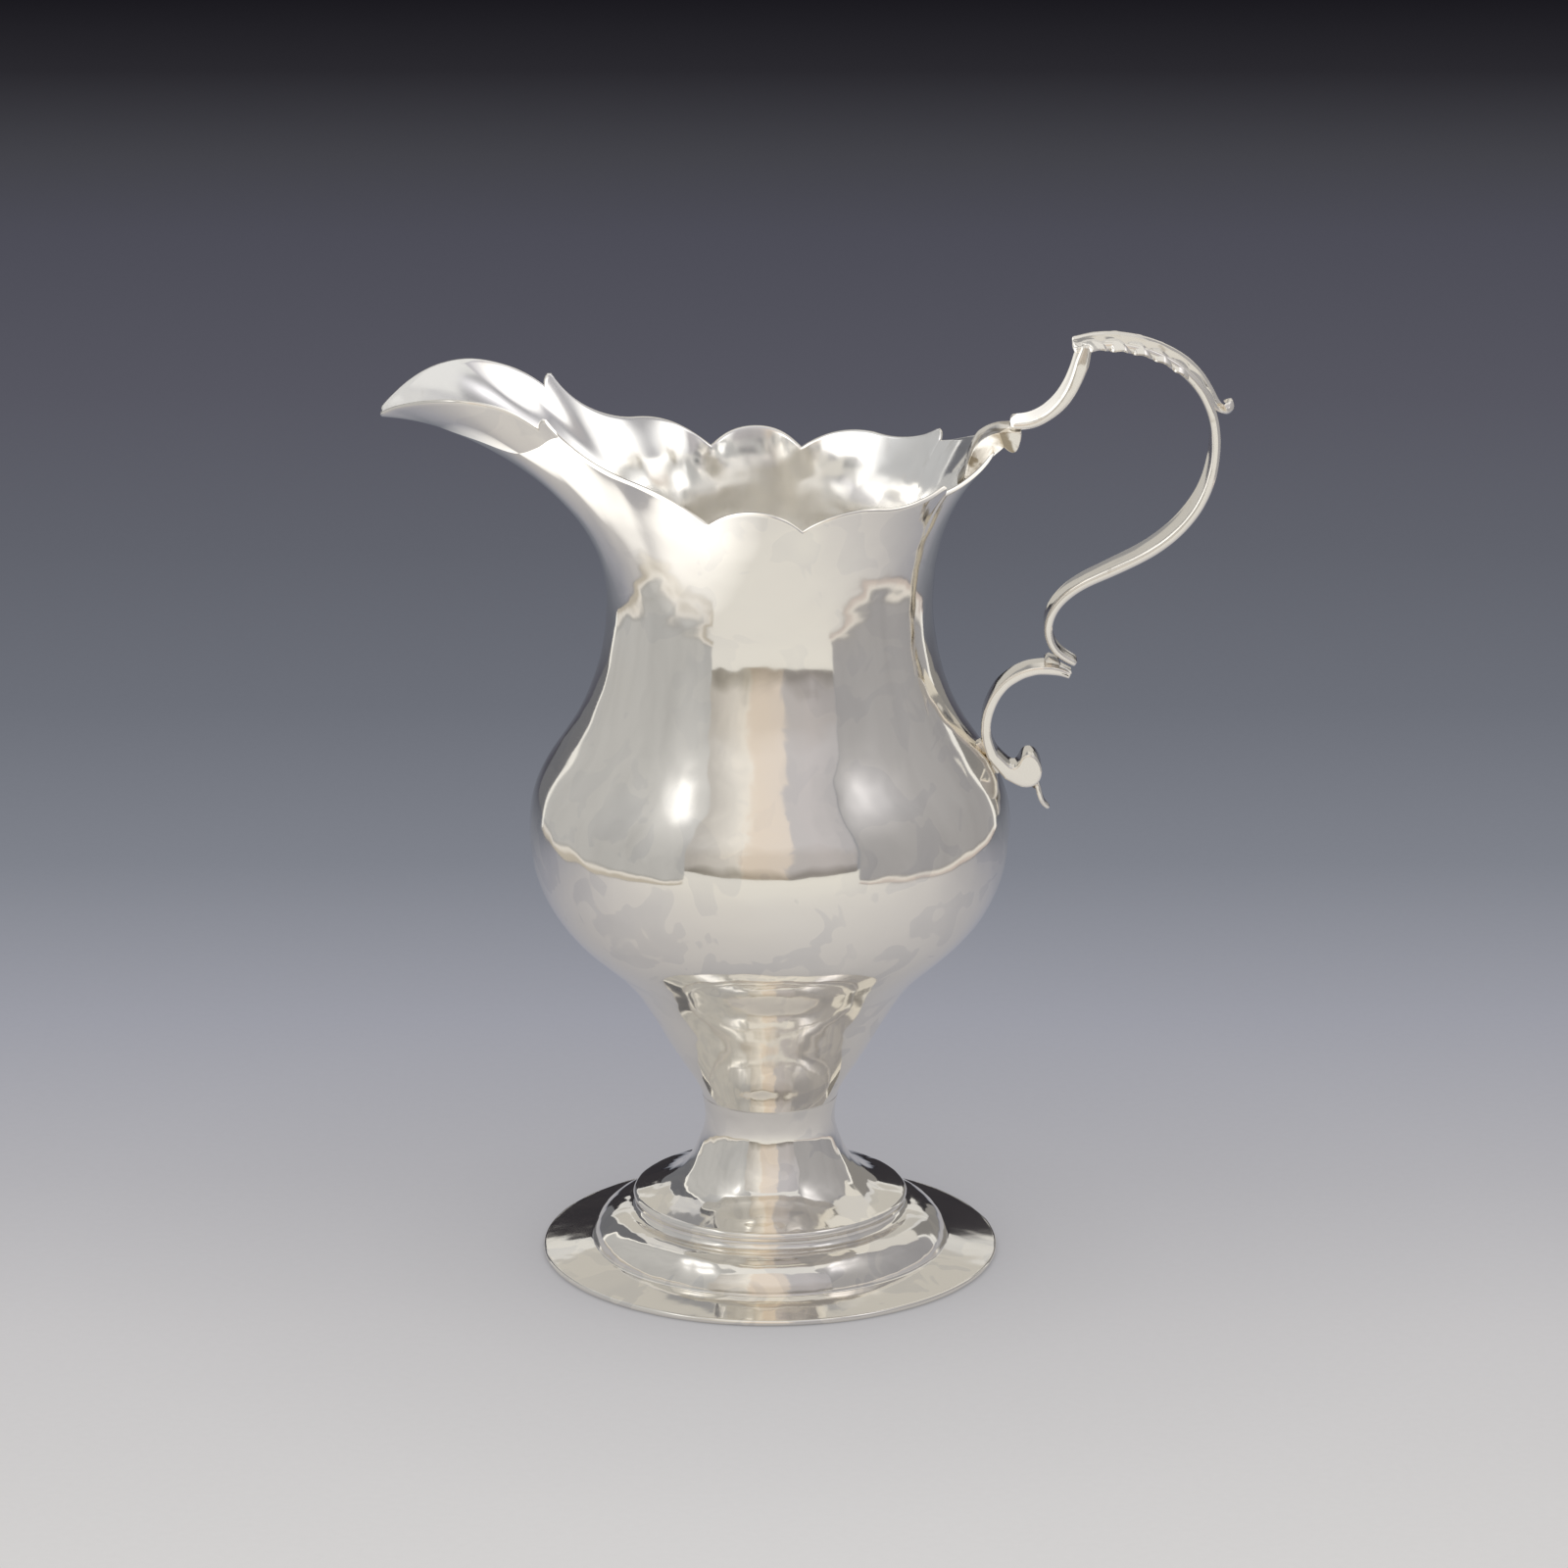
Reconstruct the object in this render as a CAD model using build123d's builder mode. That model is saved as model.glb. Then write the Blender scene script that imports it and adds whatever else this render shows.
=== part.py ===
"""A small silver cream jug on a raised foot, with a scalloped rim and a double-scroll handle.

Millimetres, +Z up. The origin is on the vessel's axis, on the plane that the foot stands on.
-X is the pouring lip, +X is the handle, and the jug is symmetric about the XZ plane.
"""

import math
import os

from build123d import *

os.makedirs("parts", exist_ok=True)

# ---------------------------------------------------------------- driving dimensions
WALL = 0.55             # the body is raised from one sheet of this thickness
SEAM_Z = 20.4           # seam between the foot and the body
SEAM_GAP = 0.2          # height of the solder ring in that seam
SEAM_W = 0.6            # width of the solder ring
WAIST_R = 8.5           # radius of the seam
NECK_R = 19.85          # outer radius of the neck
NECK_Z = 84.0           # height where the round neck starts to open into the rim
BELLY_R = 29.5          # widest outer radius of the belly
BELLY_Z = 55.0          # height of that widest point
LIP_X = -47.0           # tip of the pouring lip

FLANGE_R = 27.85        # the foot's flange, without its wire
FLANGE_TOP_Z = 0.75     # top of the flange at its edge
REST_R = 26.5           # inner edge of the flat ring that the foot stands on
WIRE_D = 0.76           # wire round the flange's edge
TREAD_R = 17.0          # edge of the foot's upper tread
TREAD_Z = 7.2           # height of that edge

STRAP_T = 1.1           # thickness of the handle's cast strap
LEAF_W = 6.4            # width of the leaf cap
BRACKET_W = 5.4         # width of the rim hook
CLEAR = 0.05            # solder film between pieces that are not modelled as touching

# ---------------------------------------------------------------- rim and lip
# One station: the angle on the neck, round from the lip, where a wall line starts; the rim point that
# it runs to; the way the wall leans at the rim; and how far the line rises from the neck before it
# leans, and how far it follows that lean.
RIM_STATIONS = [
    (0, (-47.1, 0.0, 106.7), (-1.00, 0.00, 0.05), 14.0, 12.0),
    (6, (-45.4, 4.2, 108.6), (-0.90, 0.35, 0.40), 14.0, 11.0),
    (13, (-41.8, 8.2, 110.3), (-0.72, 0.42, 0.60), 13.5, 10.0),
    (21, (-37.2, 10.5, 111.1), (-0.55, 0.38, 0.80), 13.0, 9.0),
    (30, (-31.5, 10.9, 110.4), (-0.45, 0.25, 0.85), 12.0, 8.0),
    (38, (-25.6, 11.5, 107.6), (-0.40, 0.25, 0.90), 10.0, 7.0),
    (47, (-19.3, 14.2, 104.0), (-0.38, 0.32, 0.90), 8.0, 6.0),
    (60, (-11.5, 18.9, 101.4), (-0.22, 0.35, 0.92), 6.0, 5.0),
    (90, (0.0, 20.9, 100.4), (0.00, 0.16, 0.97), 5.0, 5.0),
    (115, (8.9, 19.9, 100.2), (0.14, 0.30, 0.95), 5.0, 5.0),
    (140, (18.0, 16.0, 100.7), (0.45, 0.40, 0.80), 7.0, 6.0),
    (160, (25.0, 9.3, 102.0), (0.62, 0.22, 0.75), 8.5, 6.1),
    (180, (27.6, 0.0, 103.5), (0.66, 0.00, 0.75), 9.0, 6.1),
]
LAST_STATION = len(RIM_STATIONS) - 1
ROWS_PER_STATION = 3
WALL_LEVELS = 10
OVERRUN = 0.10          # the sheet runs this share past the rim before the scallops are cut


def mirrored(station):
    """The station's twin on the other side of the jug, with its neck angle left to the caller."""
    angle, (x, y, z), (dx, dy, dz), rise, reach = station
    return (angle, (x, -y, z), (dx, -dy, dz), rise, reach)


def flat_station(index):
    """Station by index as a flat list. Indexes past either end are the mirrored neighbours."""
    if index < 0:
        station = mirrored(RIM_STATIONS[-index])
        angle = -station[0]
    elif index > LAST_STATION:
        station = mirrored(RIM_STATIONS[2 * LAST_STATION - index])
        angle = 360 - station[0]
    else:
        station = RIM_STATIONS[index]
        angle = station[0]
    return [angle, *station[1], *station[2], station[3], station[4]]


def station_at(place):
    """Catmull-Rom blend of the rim stations at a place such as 3.25."""
    first = math.floor(place)
    t = place - first
    a, b, c, d = (flat_station(first + step) for step in (-1, 0, 1, 2))
    return [
        0.5 * (2 * q + (r - p) * t + (2 * p - 5 * q + 4 * r - s) * t**2 + (3 * q - p - 3 * r + s) * t**3)
        for p, q, r, s in zip(a, b, c, d)
    ]


def wall_point(place, height_share):
    """Outer surface of the upper wall: a Bezier curve from the neck circle up to the rim."""
    angle, x, y, z, dx, dy, dz, rise, reach = station_at(place)
    neck = Vector(-NECK_R * math.cos(math.radians(angle)), NECK_R * math.sin(math.radians(angle)), NECK_Z)
    lean = Vector(dx, dy, dz).normalized()
    rim = Vector(x, y, z)
    t = height_share
    return (
        neck * (1 - t) ** 3
        + (neck + Vector(0, 0, rise)) * (3 * t * (1 - t) ** 2)
        + (rim - lean * reach) * (3 * t**2 * (1 - t))
        + rim * t**3
    )


def inner_wall_point(place, height_share):
    """The point of the inner surface behind an outer one, one wall thickness along the normal."""
    step = 0.02
    along = wall_point(place + step, height_share) - wall_point(place - step, height_share)
    up = wall_point(place, height_share + step) - wall_point(place, height_share - step)
    return wall_point(place, height_share) + along.cross(up).normalized() * WALL


def wall_surface(point_at):
    """Half of one side of the upper wall, a little past the mirror plane, the neck and the rim."""
    rows = []
    for step in range(-1, LAST_STATION * ROWS_PER_STATION + 2):
        place = step / ROWS_PER_STATION
        line = [point_at(place, (1 + OVERRUN) * level / WALL_LEVELS) for level in range(WALL_LEVELS + 1)]
        rows.append([line[0] - Vector(0, 0, 1), *line])
    return Face.make_surface_from_array_of_points(rows)


def upper_wall():
    """The closed sheet between the outer and the inner surface of the upper wall."""
    outer = wall_surface(wall_point)
    inner = wall_surface(inner_wall_point)
    edges = [
        Face.make_surface_from_curves(outer_edge, inner_edge)
        for outer_edge in outer.edges()
        for inner_edge in [min(inner.edges(), key=lambda edge: (edge @ 0.5 - outer_edge @ 0.5).length)]
    ]
    return Solid(Shell([outer, inner, *edges]))


# ---------------------------------------------------------------- body shell
BOWL_BASE_Z = SEAM_Z + SEAM_GAP / 2
SCARF = 0.10            # the bowl's top edge is this much inside both faces of the upper wall
SCARF_DEPTH = 0.6       # and reaches this far up into it
INNER_STEPS = 14


def inner_line(outer, first_share):
    """Points one wall thickness inside an outer profile, thinning to the scarf over its last tenth."""
    points = []
    for step in range(INNER_STEPS + 1):
        share = first_share + (1 - first_share) * step / INNER_STEPS
        thickness = WALL - 2 * SCARF * max(0, share - 0.9) * 10
        points.append(outer @ share + (outer % share).rotate(Axis.Z, 90) * thickness)
    return points


with BuildPart() as body_shell:
    # The neck, the scalloped rim and the lip.
    add(upper_wall())
    split(bisect_by=Plane.XZ, keep=Keep.BOTTOM)
    split(bisect_by=Plane.XY.offset(NECK_Z), keep=Keep.TOP)
    with BuildSketch(Plane.XZ) as scallops:
        with BuildLine():
            # Seen from the side: lip, horn, ogee, middle lobe, long lobe, horn and back lobe.
            ThreePointArc((LIP_X, 107.2), (-38.8, 111.0), (-27.6, 107.8))
            Line((-27.6, 107.8), (-27.1, 109.0))
            ThreePointArc((-27.1, 109.0), (-22.7, 104.6), (-17.2, 102.6))
            ThreePointArc((-17.2, 102.6), (-12.0, 101.1), (-7.5, 98.2))
            ThreePointArc((-7.5, 98.2), (-1.7, 100.2), (4.0, 97.7))
            ThreePointArc((4.0, 97.7), (8.2, 99.6), (13.0, 99.9))
            ThreePointArc((13.0, 99.9), (17.4, 99.7), (21.3, 101.0))
            Line((21.3, 101.0), (21.2, 100.2))
            ThreePointArc((21.2, 100.2), (24.4, 101.4), (27.6, 103.4))
            Polyline((27.6, 103.4), (30, 103.4), (30, NECK_Z - 1), (LIP_X, NECK_Z - 1), (LIP_X, 107.2))
        make_face()
    extrude(amount=BELLY_R, both=True, mode=Mode.INTERSECT)
    mirror(about=Plane.XZ)

    # The bowl and the lower neck, turned from one profile.
    with BuildSketch(Plane.XZ) as bowl:
        with BuildLine():
            outer = Spline(
                (WAIST_R - 0.1, BOWL_BASE_Z),
                (10.3, 24),
                (13.9, 30),
                (18.0, 36),
                (24.4, 42),
                (28.15, 48),
                (BELLY_R, BELLY_Z),
                (28.45, 60.3),
                (24.0, 68),
                (20.6, 77),
                (NECK_R - SCARF, NECK_Z + SCARF_DEPTH),
                tangents=((0.3, 1), (0, 1)),
            )
            inner_points = inner_line(outer, 0.02)
            Spline(*inner_points)
            Line(outer @ 1, inner_points[-1])
            Polyline(outer @ 0, (0, BOWL_BASE_Z), (0, BOWL_BASE_Z + WALL), inner_points[0])
        make_face()
    revolve(axis=Axis.Z)
body_shell.part.label = "body_shell"

# ---------------------------------------------------------------- foot
# One hollow sheet: the stem spreads into a tread, drops through a cove to a domed step, and ends in a
# flat flange. Its inner face is plainer than its outer one, as on a hammered foot.
with BuildPart() as foot:
    with BuildSketch(Plane.XZ) as foot_profile:
        with BuildLine():
            top_z = SEAM_Z - SEAM_GAP / 2
            Spline((WAIST_R, top_z), (8.05, 17.2), (8.9, 14), (10.6, 10.9), (13.0, 9.0), (16.4, 7.85))
            ThreePointArc((16.4, 7.85), (TREAD_R, TREAD_Z), (16.6, 6.6))
            ThreePointArc((16.6, 6.6), (16.8, 5.9), (17.4, 5.6))
            ThreePointArc((17.4, 5.6), (20.6, 4.4), (22.1, 1.6))
            Line((22.1, 1.6), (FLANGE_R, FLANGE_TOP_Z))
            Line((FLANGE_R, FLANGE_TOP_Z), (FLANGE_R, 0))
            Line((FLANGE_R, 0), (REST_R, 0))
            Line((REST_R, 0), (21.5, 0.9))
            ThreePointArc((21.5, 0.9), (20.1, 3.55), (17.2, 4.8))
            ThreePointArc((17.2, 4.8), (16.1, 5.5), (15.8, 6.9))
            Spline((15.8, 6.9), (12.5, 8.4), (9.9, 10.5), (8.3, 13.8), (7.4, 17.2), (7.8, top_z))
            Line((7.8, top_z), (WAIST_R, top_z))
        make_face()
    revolve(axis=Axis.Z)
foot.part.label = "foot"

with BuildPart() as foot_rim_wire:
    with BuildSketch(Plane.XZ) as wire_section:
        with Locations((FLANGE_R, WIRE_D / 2)):
            Circle(WIRE_D / 2)
        with Locations((FLANGE_R - WIRE_D / 2, WIRE_D / 2)):
            Rectangle(WIRE_D, WIRE_D, mode=Mode.SUBTRACT)
    revolve(axis=Axis.Z)
foot_rim_wire.part.label = "foot_rim_wire"

with BuildPart() as waist_solder:
    with BuildSketch(Plane.XZ) as seam_section:
        with Locations((WAIST_R - 0.1 - SEAM_W / 2, SEAM_Z)):
            Rectangle(SEAM_W, SEAM_GAP)
    revolve(axis=Axis.Z)
waist_solder.part.label = "waist_solder"


# ---------------------------------------------------------------- handle
def section_at(stations, share):
    """Width and thickness at a share of a strap's length, from stations of (share, width, thickness)."""
    for (s0, w0, t0), (s1, w1, t1) in zip(stations, stations[1:]):
        if share <= s1:
            part = (share - s0) / (s1 - s0)
            return w0 + part * (w1 - w0), t0 + part * (t1 - t0)
    return stations[-1][1:]


def strap(centre, stations, count):
    """Loft rounded rectangles along a centre line in the XZ plane."""
    sections = []
    for step in range(count + 1):
        share = step / count
        width, thickness = section_at(stations, share)
        with BuildSketch(Plane(centre @ share, x_dir=(0, 1, 0), z_dir=centre % share)) as section:
            RectangleRounded(width, thickness, thickness * 0.3)
        sections.append(section.sketch)
    return loft(sections)


def side_line(points):
    """A spline in the XZ plane through (x, z) points, outside any builder."""
    return Spline(*[(x, 0, z) for x, z in points], mode=Mode.PRIVATE)


# The hook over the rim, with the leaf point that hangs outside it.
with BuildPart() as rim_bracket:
    with BuildSketch(Plane.XZ):
        with BuildLine():
            Spline((23.9, 99.3), (24.2, 101.6), (25.4, 104.3), (27.6, 105.3), (30.2, 105.4))
            Spline((30.2, 105.4), (30.0, 103.9), (29.4, 102.9), (28.8, 103.3), (27.9, 104.2))
            Polyline((27.9, 104.2), (27.3, 103.6), (25.0, 100.5), (23.9, 99.3))
        make_face()
    extrude(amount=BRACKET_W / 2, both=True)
    add(body_shell.part, mode=Mode.SUBTRACT)
rim_bracket.part.label = "rim_bracket"

# Upper casting: the tongue that rises from the hook, and the long C-scroll that it carries.
tongue_line = side_line(
    [(29.4, 106.0), (31.4, 106.2), (33.6, 107.3), (35.5, 109.2), (36.9, 111.8), (38.1, 115.75)]
)
upper_line = side_line(
    [
        (36.8, 115.4),
        (39.6, 115.9),
        (45.4, 115.2),
        (50.2, 112.5),
        (53.2, 107.8),
        (53.8, 103.4),
        (52.0, 96.3),
        (46.8, 90.7),
        (39.9, 87.0),
        (35.6, 84.2),
        (33.9, 81.0),
        (34.6, 77.9),
        (37.1, 76.0),
    ]
)
upper_stations = [
    (0, 4.6, 0.7),
    (0.1, 5.8, STRAP_T),
    (0.45, 6.6, STRAP_T),
    (0.6, 6.2, STRAP_T),
    (0.8, 4.6, STRAP_T),
    (0.92, 4.2, 1.0),
    (1, 3.4, 0.6),
]
with BuildPart() as upper_scroll:
    strap(upper_line, upper_stations, 24)
    strap(tongue_line, [(0, 5.2, 0.8), (0.5, 5.8, 1.2), (1, 5.4, 1.3)], 7)
upper_scroll.part.label = "upper_scroll"

# The leaf lies along the top of the scroll, and its tip leaves the scroll and turns up.
LEAF_T = 0.7
LEAF_END = 0.30         # share of the scroll's length that the leaf covers
leaf_lift = STRAP_T / 2 + CLEAR + LEAF_T / 2
leaf_points = []
for step in range(7):
    share = LEAF_END * step / 6
    outward = (upper_line % share).rotate(Axis.Y, -90)
    spot = upper_line @ share + outward * leaf_lift
    leaf_points.append((spot.X, spot.Z))
leaf_line = side_line([*leaf_points, (54.6, 107.5), (55.3, 107.4), (55.75, 107.95), (55.6, 108.6)])
leaf_stations = [(0, 3.0, 0.5), (0.2, LEAF_W, LEAF_T), (0.7, LEAF_W, LEAF_T), (0.88, 3.6, 0.5), (1, 2.2, 0.5)]
with BuildPart() as leaf_cap:
    strap(leaf_line, leaf_stations, 24)
leaf_cap.part.label = "leaf_cap"

# Lower casting: a C-scroll that ends in a volute knob.
KNOB = (31.4, 62.15)    # centre of the volute's knob
KNOB_R = 1.85
KNOB_W = 4.2
EYE = (31.55, 63.7)     # the small end of the comma that the knob makes
EYE_R = 0.9
lower_line = side_line(
    [
        (36.6, 74.4),
        (35.0, 75.0),
        (33.0, 75.2),
        (30.8, 74.7),
        (28.3, 72.9),
        (26.8, 70.2),
        (26.4, 67.2),
        (27.2, 64.3),
        (28.9, 62.3),
        (30.8, 61.8),
    ]
)
lower_stations = [(0, 3.2, 0.6), (0.15, 3.9, 1.1), (0.7, 4.0, 1.15), (0.85, 4.0, 1.5), (1, 4.0, 2.2)]
with BuildPart() as lower_scroll:
    strap(lower_line, lower_stations, 18)
    with BuildSketch(Plane.XZ) as knob:
        with Locations(KNOB):
            Circle(KNOB_R)
        with Locations(EYE):
            Circle(EYE_R)
        make_hull()
    extrude(amount=KNOB_W / 2, both=True)
lower_scroll.part.label = "lower_scroll"

tail_line = side_line([(32.7, 60.3), (33.0, 59.2), (33.4, 58.1), (34.0, 57.4)])
with BuildPart() as tail_drop:
    strap(tail_line, [(0, 1.8, 0.7), (0.6, 2.0, 0.6), (1, 1.2, 0.4)], 6)
tail_drop.part.label = "tail_drop"


# ---------------------------------------------------------------- solder
def solder(points, depth, *neighbours):
    """A bead of solder: an outline in the XZ plane, as deep as stated, without what it joins."""
    with BuildPart() as bead:
        with BuildSketch(Plane.XZ):
            with BuildLine():
                Polyline(*points, close=True)
            make_face()
        extrude(amount=depth / 2, both=True)
        for neighbour in neighbours:
            add(neighbour.part, mode=Mode.SUBTRACT)
    return bead


# Under the hook, inside the rim.
bracket_solder = solder(
    [(24.1, 99.9), (23.7, 100.4), (22.7, 98.8), (22.9, 98.0), (23.9, 99.3)], 3.8, body_shell, rim_bracket
)
# Between the hook and the tongue.
tongue_solder = solder(
    [(28.9, 105.3), (30.3, 105.3), (30.3, 105.75), (29.2, 105.75)], 4.8, rim_bracket, upper_scroll
)
# In the crotch of the two scrolls.
scroll_solder = solder(
    [(32.9, 75.4), (33.1, 77.1), (33.9, 77.6), (35.3, 76.5), (35.6, 75.2)], 2.8, upper_scroll, lower_scroll
)
# Under the knob, where its drop hangs.
tail_solder = solder([(31.7, 60.2), (32.5, 59.7), (32.9, 60.4), (32.6, 61.2)], 1.4, lower_scroll, tail_drop)
# Where the lower scroll meets the belly.
joint_solder = solder(
    [(25.0, 66.0), (25.9, 66.6), (26.6, 64.6), (28.3, 62.1), (27.9, 60.9), (26.6, 63.0)],
    3.0,
    body_shell,
    lower_scroll,
)
beads = {
    "bracket_solder": bracket_solder,
    "tongue_solder": tongue_solder,
    "scroll_solder": scroll_solder,
    "tail_solder": tail_solder,
    "joint_solder": joint_solder,
}
for name, bead in beads.items():
    bead.part.label = name

castings = [rim_bracket, upper_scroll, leaf_cap, lower_scroll, tail_drop]
for piece in (body_shell, foot, foot_rim_wire, waist_solder, *castings, *beads.values()):
    export_step(piece.part, f"parts/{piece.part.label}.step")
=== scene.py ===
"""Looks of a small silver cream jug: raised body and foot, and a cast double-scroll handle.

Lengths are millimetres until a mesh is made, in the part's own frame: +Z up, -X the lip, +X the handle.
"""

import math

import bpy
import numpy as np
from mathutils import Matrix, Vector, noise


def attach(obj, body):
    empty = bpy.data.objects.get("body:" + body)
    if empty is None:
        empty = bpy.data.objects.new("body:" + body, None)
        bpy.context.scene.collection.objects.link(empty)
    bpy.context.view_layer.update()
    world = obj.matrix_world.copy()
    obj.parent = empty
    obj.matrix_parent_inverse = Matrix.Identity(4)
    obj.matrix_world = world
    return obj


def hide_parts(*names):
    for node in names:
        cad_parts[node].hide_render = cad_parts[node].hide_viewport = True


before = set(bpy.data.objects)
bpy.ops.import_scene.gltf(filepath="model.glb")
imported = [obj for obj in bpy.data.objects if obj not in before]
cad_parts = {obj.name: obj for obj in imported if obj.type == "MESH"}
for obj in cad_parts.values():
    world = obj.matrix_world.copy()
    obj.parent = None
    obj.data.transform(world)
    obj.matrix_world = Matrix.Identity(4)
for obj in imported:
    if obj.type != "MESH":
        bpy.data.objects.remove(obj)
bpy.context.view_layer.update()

MM = 0.001

# ---------------- driving dimensions
WALL = 0.55             # sheet that the body is raised from
NECK_R = 19.85          # outer radius of the neck
NECK_Z = 84.0           # height where the round neck starts to open into the rim
LIP_X = -46.95          # blunt tip of the lip
SEAM_Z = 20.4           # seam between the foot and the body
WAIST_R = 8.5           # radius of that seam
WIRE_R = 27.85          # the wire round the foot's flange
WIRE_D = 0.76           # thickness of that wire
SEAM_INSET = 0.07       # body, foot and solder meet this far inside the seam's radius
SEAM_HALF = 0.1         # body and foot each stop this far from the seam's height
SHARP_DEGREES = 52      # edges that turn more than this are shaded as edges


# ---------------- curves
def smoothstep(low, high, value):
    """0 below low, 1 above high, and smooth between."""
    share = np.clip((value - low) / (high - low), 0.0, 1.0)
    return share * share * (3 - 2 * share)


def unit(vectors):
    """The vectors along the last axis, at length 1."""
    return vectors / np.linalg.norm(vectors, axis=-1, keepdims=True)


def run_of(points):
    """Distance along a polyline at each of its points."""
    return np.concatenate([[0], np.cumsum(np.linalg.norm(np.diff(points, axis=0), axis=1))])


def spline(points, count, start=None, end=None):
    """Points evenly along a smooth curve through the given ones. start and end are optional tangents."""
    knots = np.array(points, float)
    chord = run_of(knots)
    size = len(knots)
    matrix = np.zeros((size, size))
    right = np.zeros_like(knots)
    gaps = np.diff(chord)
    for i in range(1, size - 1):
        matrix[i, i - 1] = gaps[i]
        matrix[i, i] = 2 * (gaps[i - 1] + gaps[i])
        matrix[i, i + 1] = gaps[i - 1]
        before = (knots[i] - knots[i - 1]) / gaps[i - 1]
        after = (knots[i + 1] - knots[i]) / gaps[i]
        right[i] = 3 * (gaps[i] * before + gaps[i - 1] * after)
    for row, step, tangent in ((0, 1, start), (size - 1, -1, end)):
        if tangent is None:
            matrix[row, row] = 2
            matrix[row, row + step] = 1
            gap = gaps[0] if row == 0 else gaps[-1]
            right[row] = 3 * step * (knots[row + step] - knots[row]) / gap
        else:
            matrix[row, row] = 1
            right[row] = np.array(tangent, float) / np.linalg.norm(tangent)
    slopes = np.linalg.solve(matrix, right)

    length = np.linspace(0, chord[-1], 60 * size)
    i = np.clip(np.searchsorted(chord, length, side="right") - 1, 0, size - 2)
    h = gaps[i][:, None]
    s = ((length - chord[i]) / gaps[i])[:, None]
    fine = (
        knots[i] * (1 + 2 * s) * (1 - s) ** 2
        + slopes[i] * h * s * (1 - s) ** 2
        + knots[i + 1] * s**2 * (3 - 2 * s)
        + slopes[i + 1] * h * s**2 * (s - 1)
    )
    return evenly(fine, count)


def left_of(line):
    """Unit vectors to the left of a flat line's run."""
    tangent = unit(np.gradient(line, axis=0))
    return np.stack([-tangent[:, 1], tangent[:, 0]], axis=1)


def evenly(points, count):
    """The given number of points, at equal distances along a polyline."""
    points = np.array(points, float)
    run = run_of(points)
    where = np.linspace(0, run[-1], count)
    return np.stack([np.interp(where, run, points[:, k]) for k in range(points.shape[1])], axis=1)


def arc(first, middle, last, pitch):
    """Points from first to last on the circle through the three, about one pitch apart."""
    (ax, ay), (bx, by), (cx, cy) = first, middle, last
    d = 2 * (ax * (by - cy) + bx * (cy - ay) + cx * (ay - by))
    a2, b2, c2 = ax * ax + ay * ay, bx * bx + by * by, cx * cx + cy * cy
    ox = (a2 * (by - cy) + b2 * (cy - ay) + c2 * (ay - by)) / d
    oy = (a2 * (cx - bx) + b2 * (ax - cx) + c2 * (bx - ax)) / d
    radius = math.hypot(ax - ox, ay - oy)
    angles = [math.atan2(y - oy, x - ox) for x, y in (first, middle, last)]
    turn_middle = (angles[1] - angles[0]) % math.tau
    turn = (angles[2] - angles[0]) % math.tau
    if turn_middle > turn:
        turn -= math.tau
    count = max(3, round(abs(turn) * radius / pitch))
    steps = [angles[0] + turn * k / count for k in range(count + 1)]
    return [(ox + radius * math.cos(step), oy + radius * math.sin(step)) for step in steps]


# ---------------- meshes
def ring_faces(rows, columns, closed_rows, poles):
    """Quads of a stack of rings. With poles, one point before the first ring and one after the last."""
    faces = []
    last = rows if closed_rows else rows - 1
    for i in range(last):
        a, b = i * columns, ((i + 1) % rows) * columns
        for j in range(columns):
            k = (j + 1) % columns
            faces.append((a + j, a + k, b + k, b + j))
    if poles:
        top, bottom = rows * columns, rows * columns + 1
        for j in range(columns):
            k = (j + 1) % columns
            faces.append((top, k, j))
            faces.append((bottom, (rows - 1) * columns + j, (rows - 1) * columns + k))
    return faces


def grid_normals(rings, closed_rows=False):
    """Outward unit normals of a stack of rings, for rings that run one way round."""
    around = np.roll(rings, -1, axis=1) - np.roll(rings, 1, axis=1)
    if closed_rows:
        along = np.roll(rings, -1, axis=0) - np.roll(rings, 1, axis=0)
    else:
        along = np.gradient(rings, axis=0)
    normal = np.cross(around, along)
    return normal / np.maximum(np.linalg.norm(normal, axis=2, keepdims=True), 1e-9)


def add_object(name, data):
    """A new object in the scene."""
    made = bpy.data.objects.new(name, data)
    bpy.context.scene.collection.objects.link(made)
    return made


def new_mesh(name, vertices, faces):
    """A checked mesh in metres from millimetres."""
    mesh = bpy.data.meshes.new(name)
    mesh.from_pydata((np.asarray(vertices, float) * MM).tolist(), [], faces)
    mesh.validate()
    return mesh


def piece(name, vertices, faces, material, kind, *nodes):
    """A smooth-shaded mesh of the object, riding on the part's only body in place of CAD nodes."""
    mesh = new_mesh(name, vertices, faces)
    mesh.update()
    mesh.polygons.foreach_set("use_smooth", [True] * len(mesh.polygons))
    mesh.set_sharp_from_angle(angle=math.radians(SHARP_DEGREES))
    mesh.materials.append(material)
    made = add_object(name, mesh)
    face_outward(mesh)
    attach(made, "root")
    if nodes:
        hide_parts(*nodes)
    return made


def face_outward(mesh):
    """Turns every face outwards by the sign of the closed mesh's volume."""
    count = len(mesh.vertices)
    points = np.zeros(count * 3)
    mesh.vertices.foreach_get("co", points)
    points = points.reshape(-1, 3)
    mesh.calc_loop_triangles()
    corners = np.zeros(len(mesh.loop_triangles) * 3, int)
    mesh.loop_triangles.foreach_get("vertices", corners)
    a, b, c = (points[corners[k::3]] for k in range(3))
    if np.einsum("ij,ij->i", a, np.cross(b, c)).sum() < 0:
        mesh.flip_normals()


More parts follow.
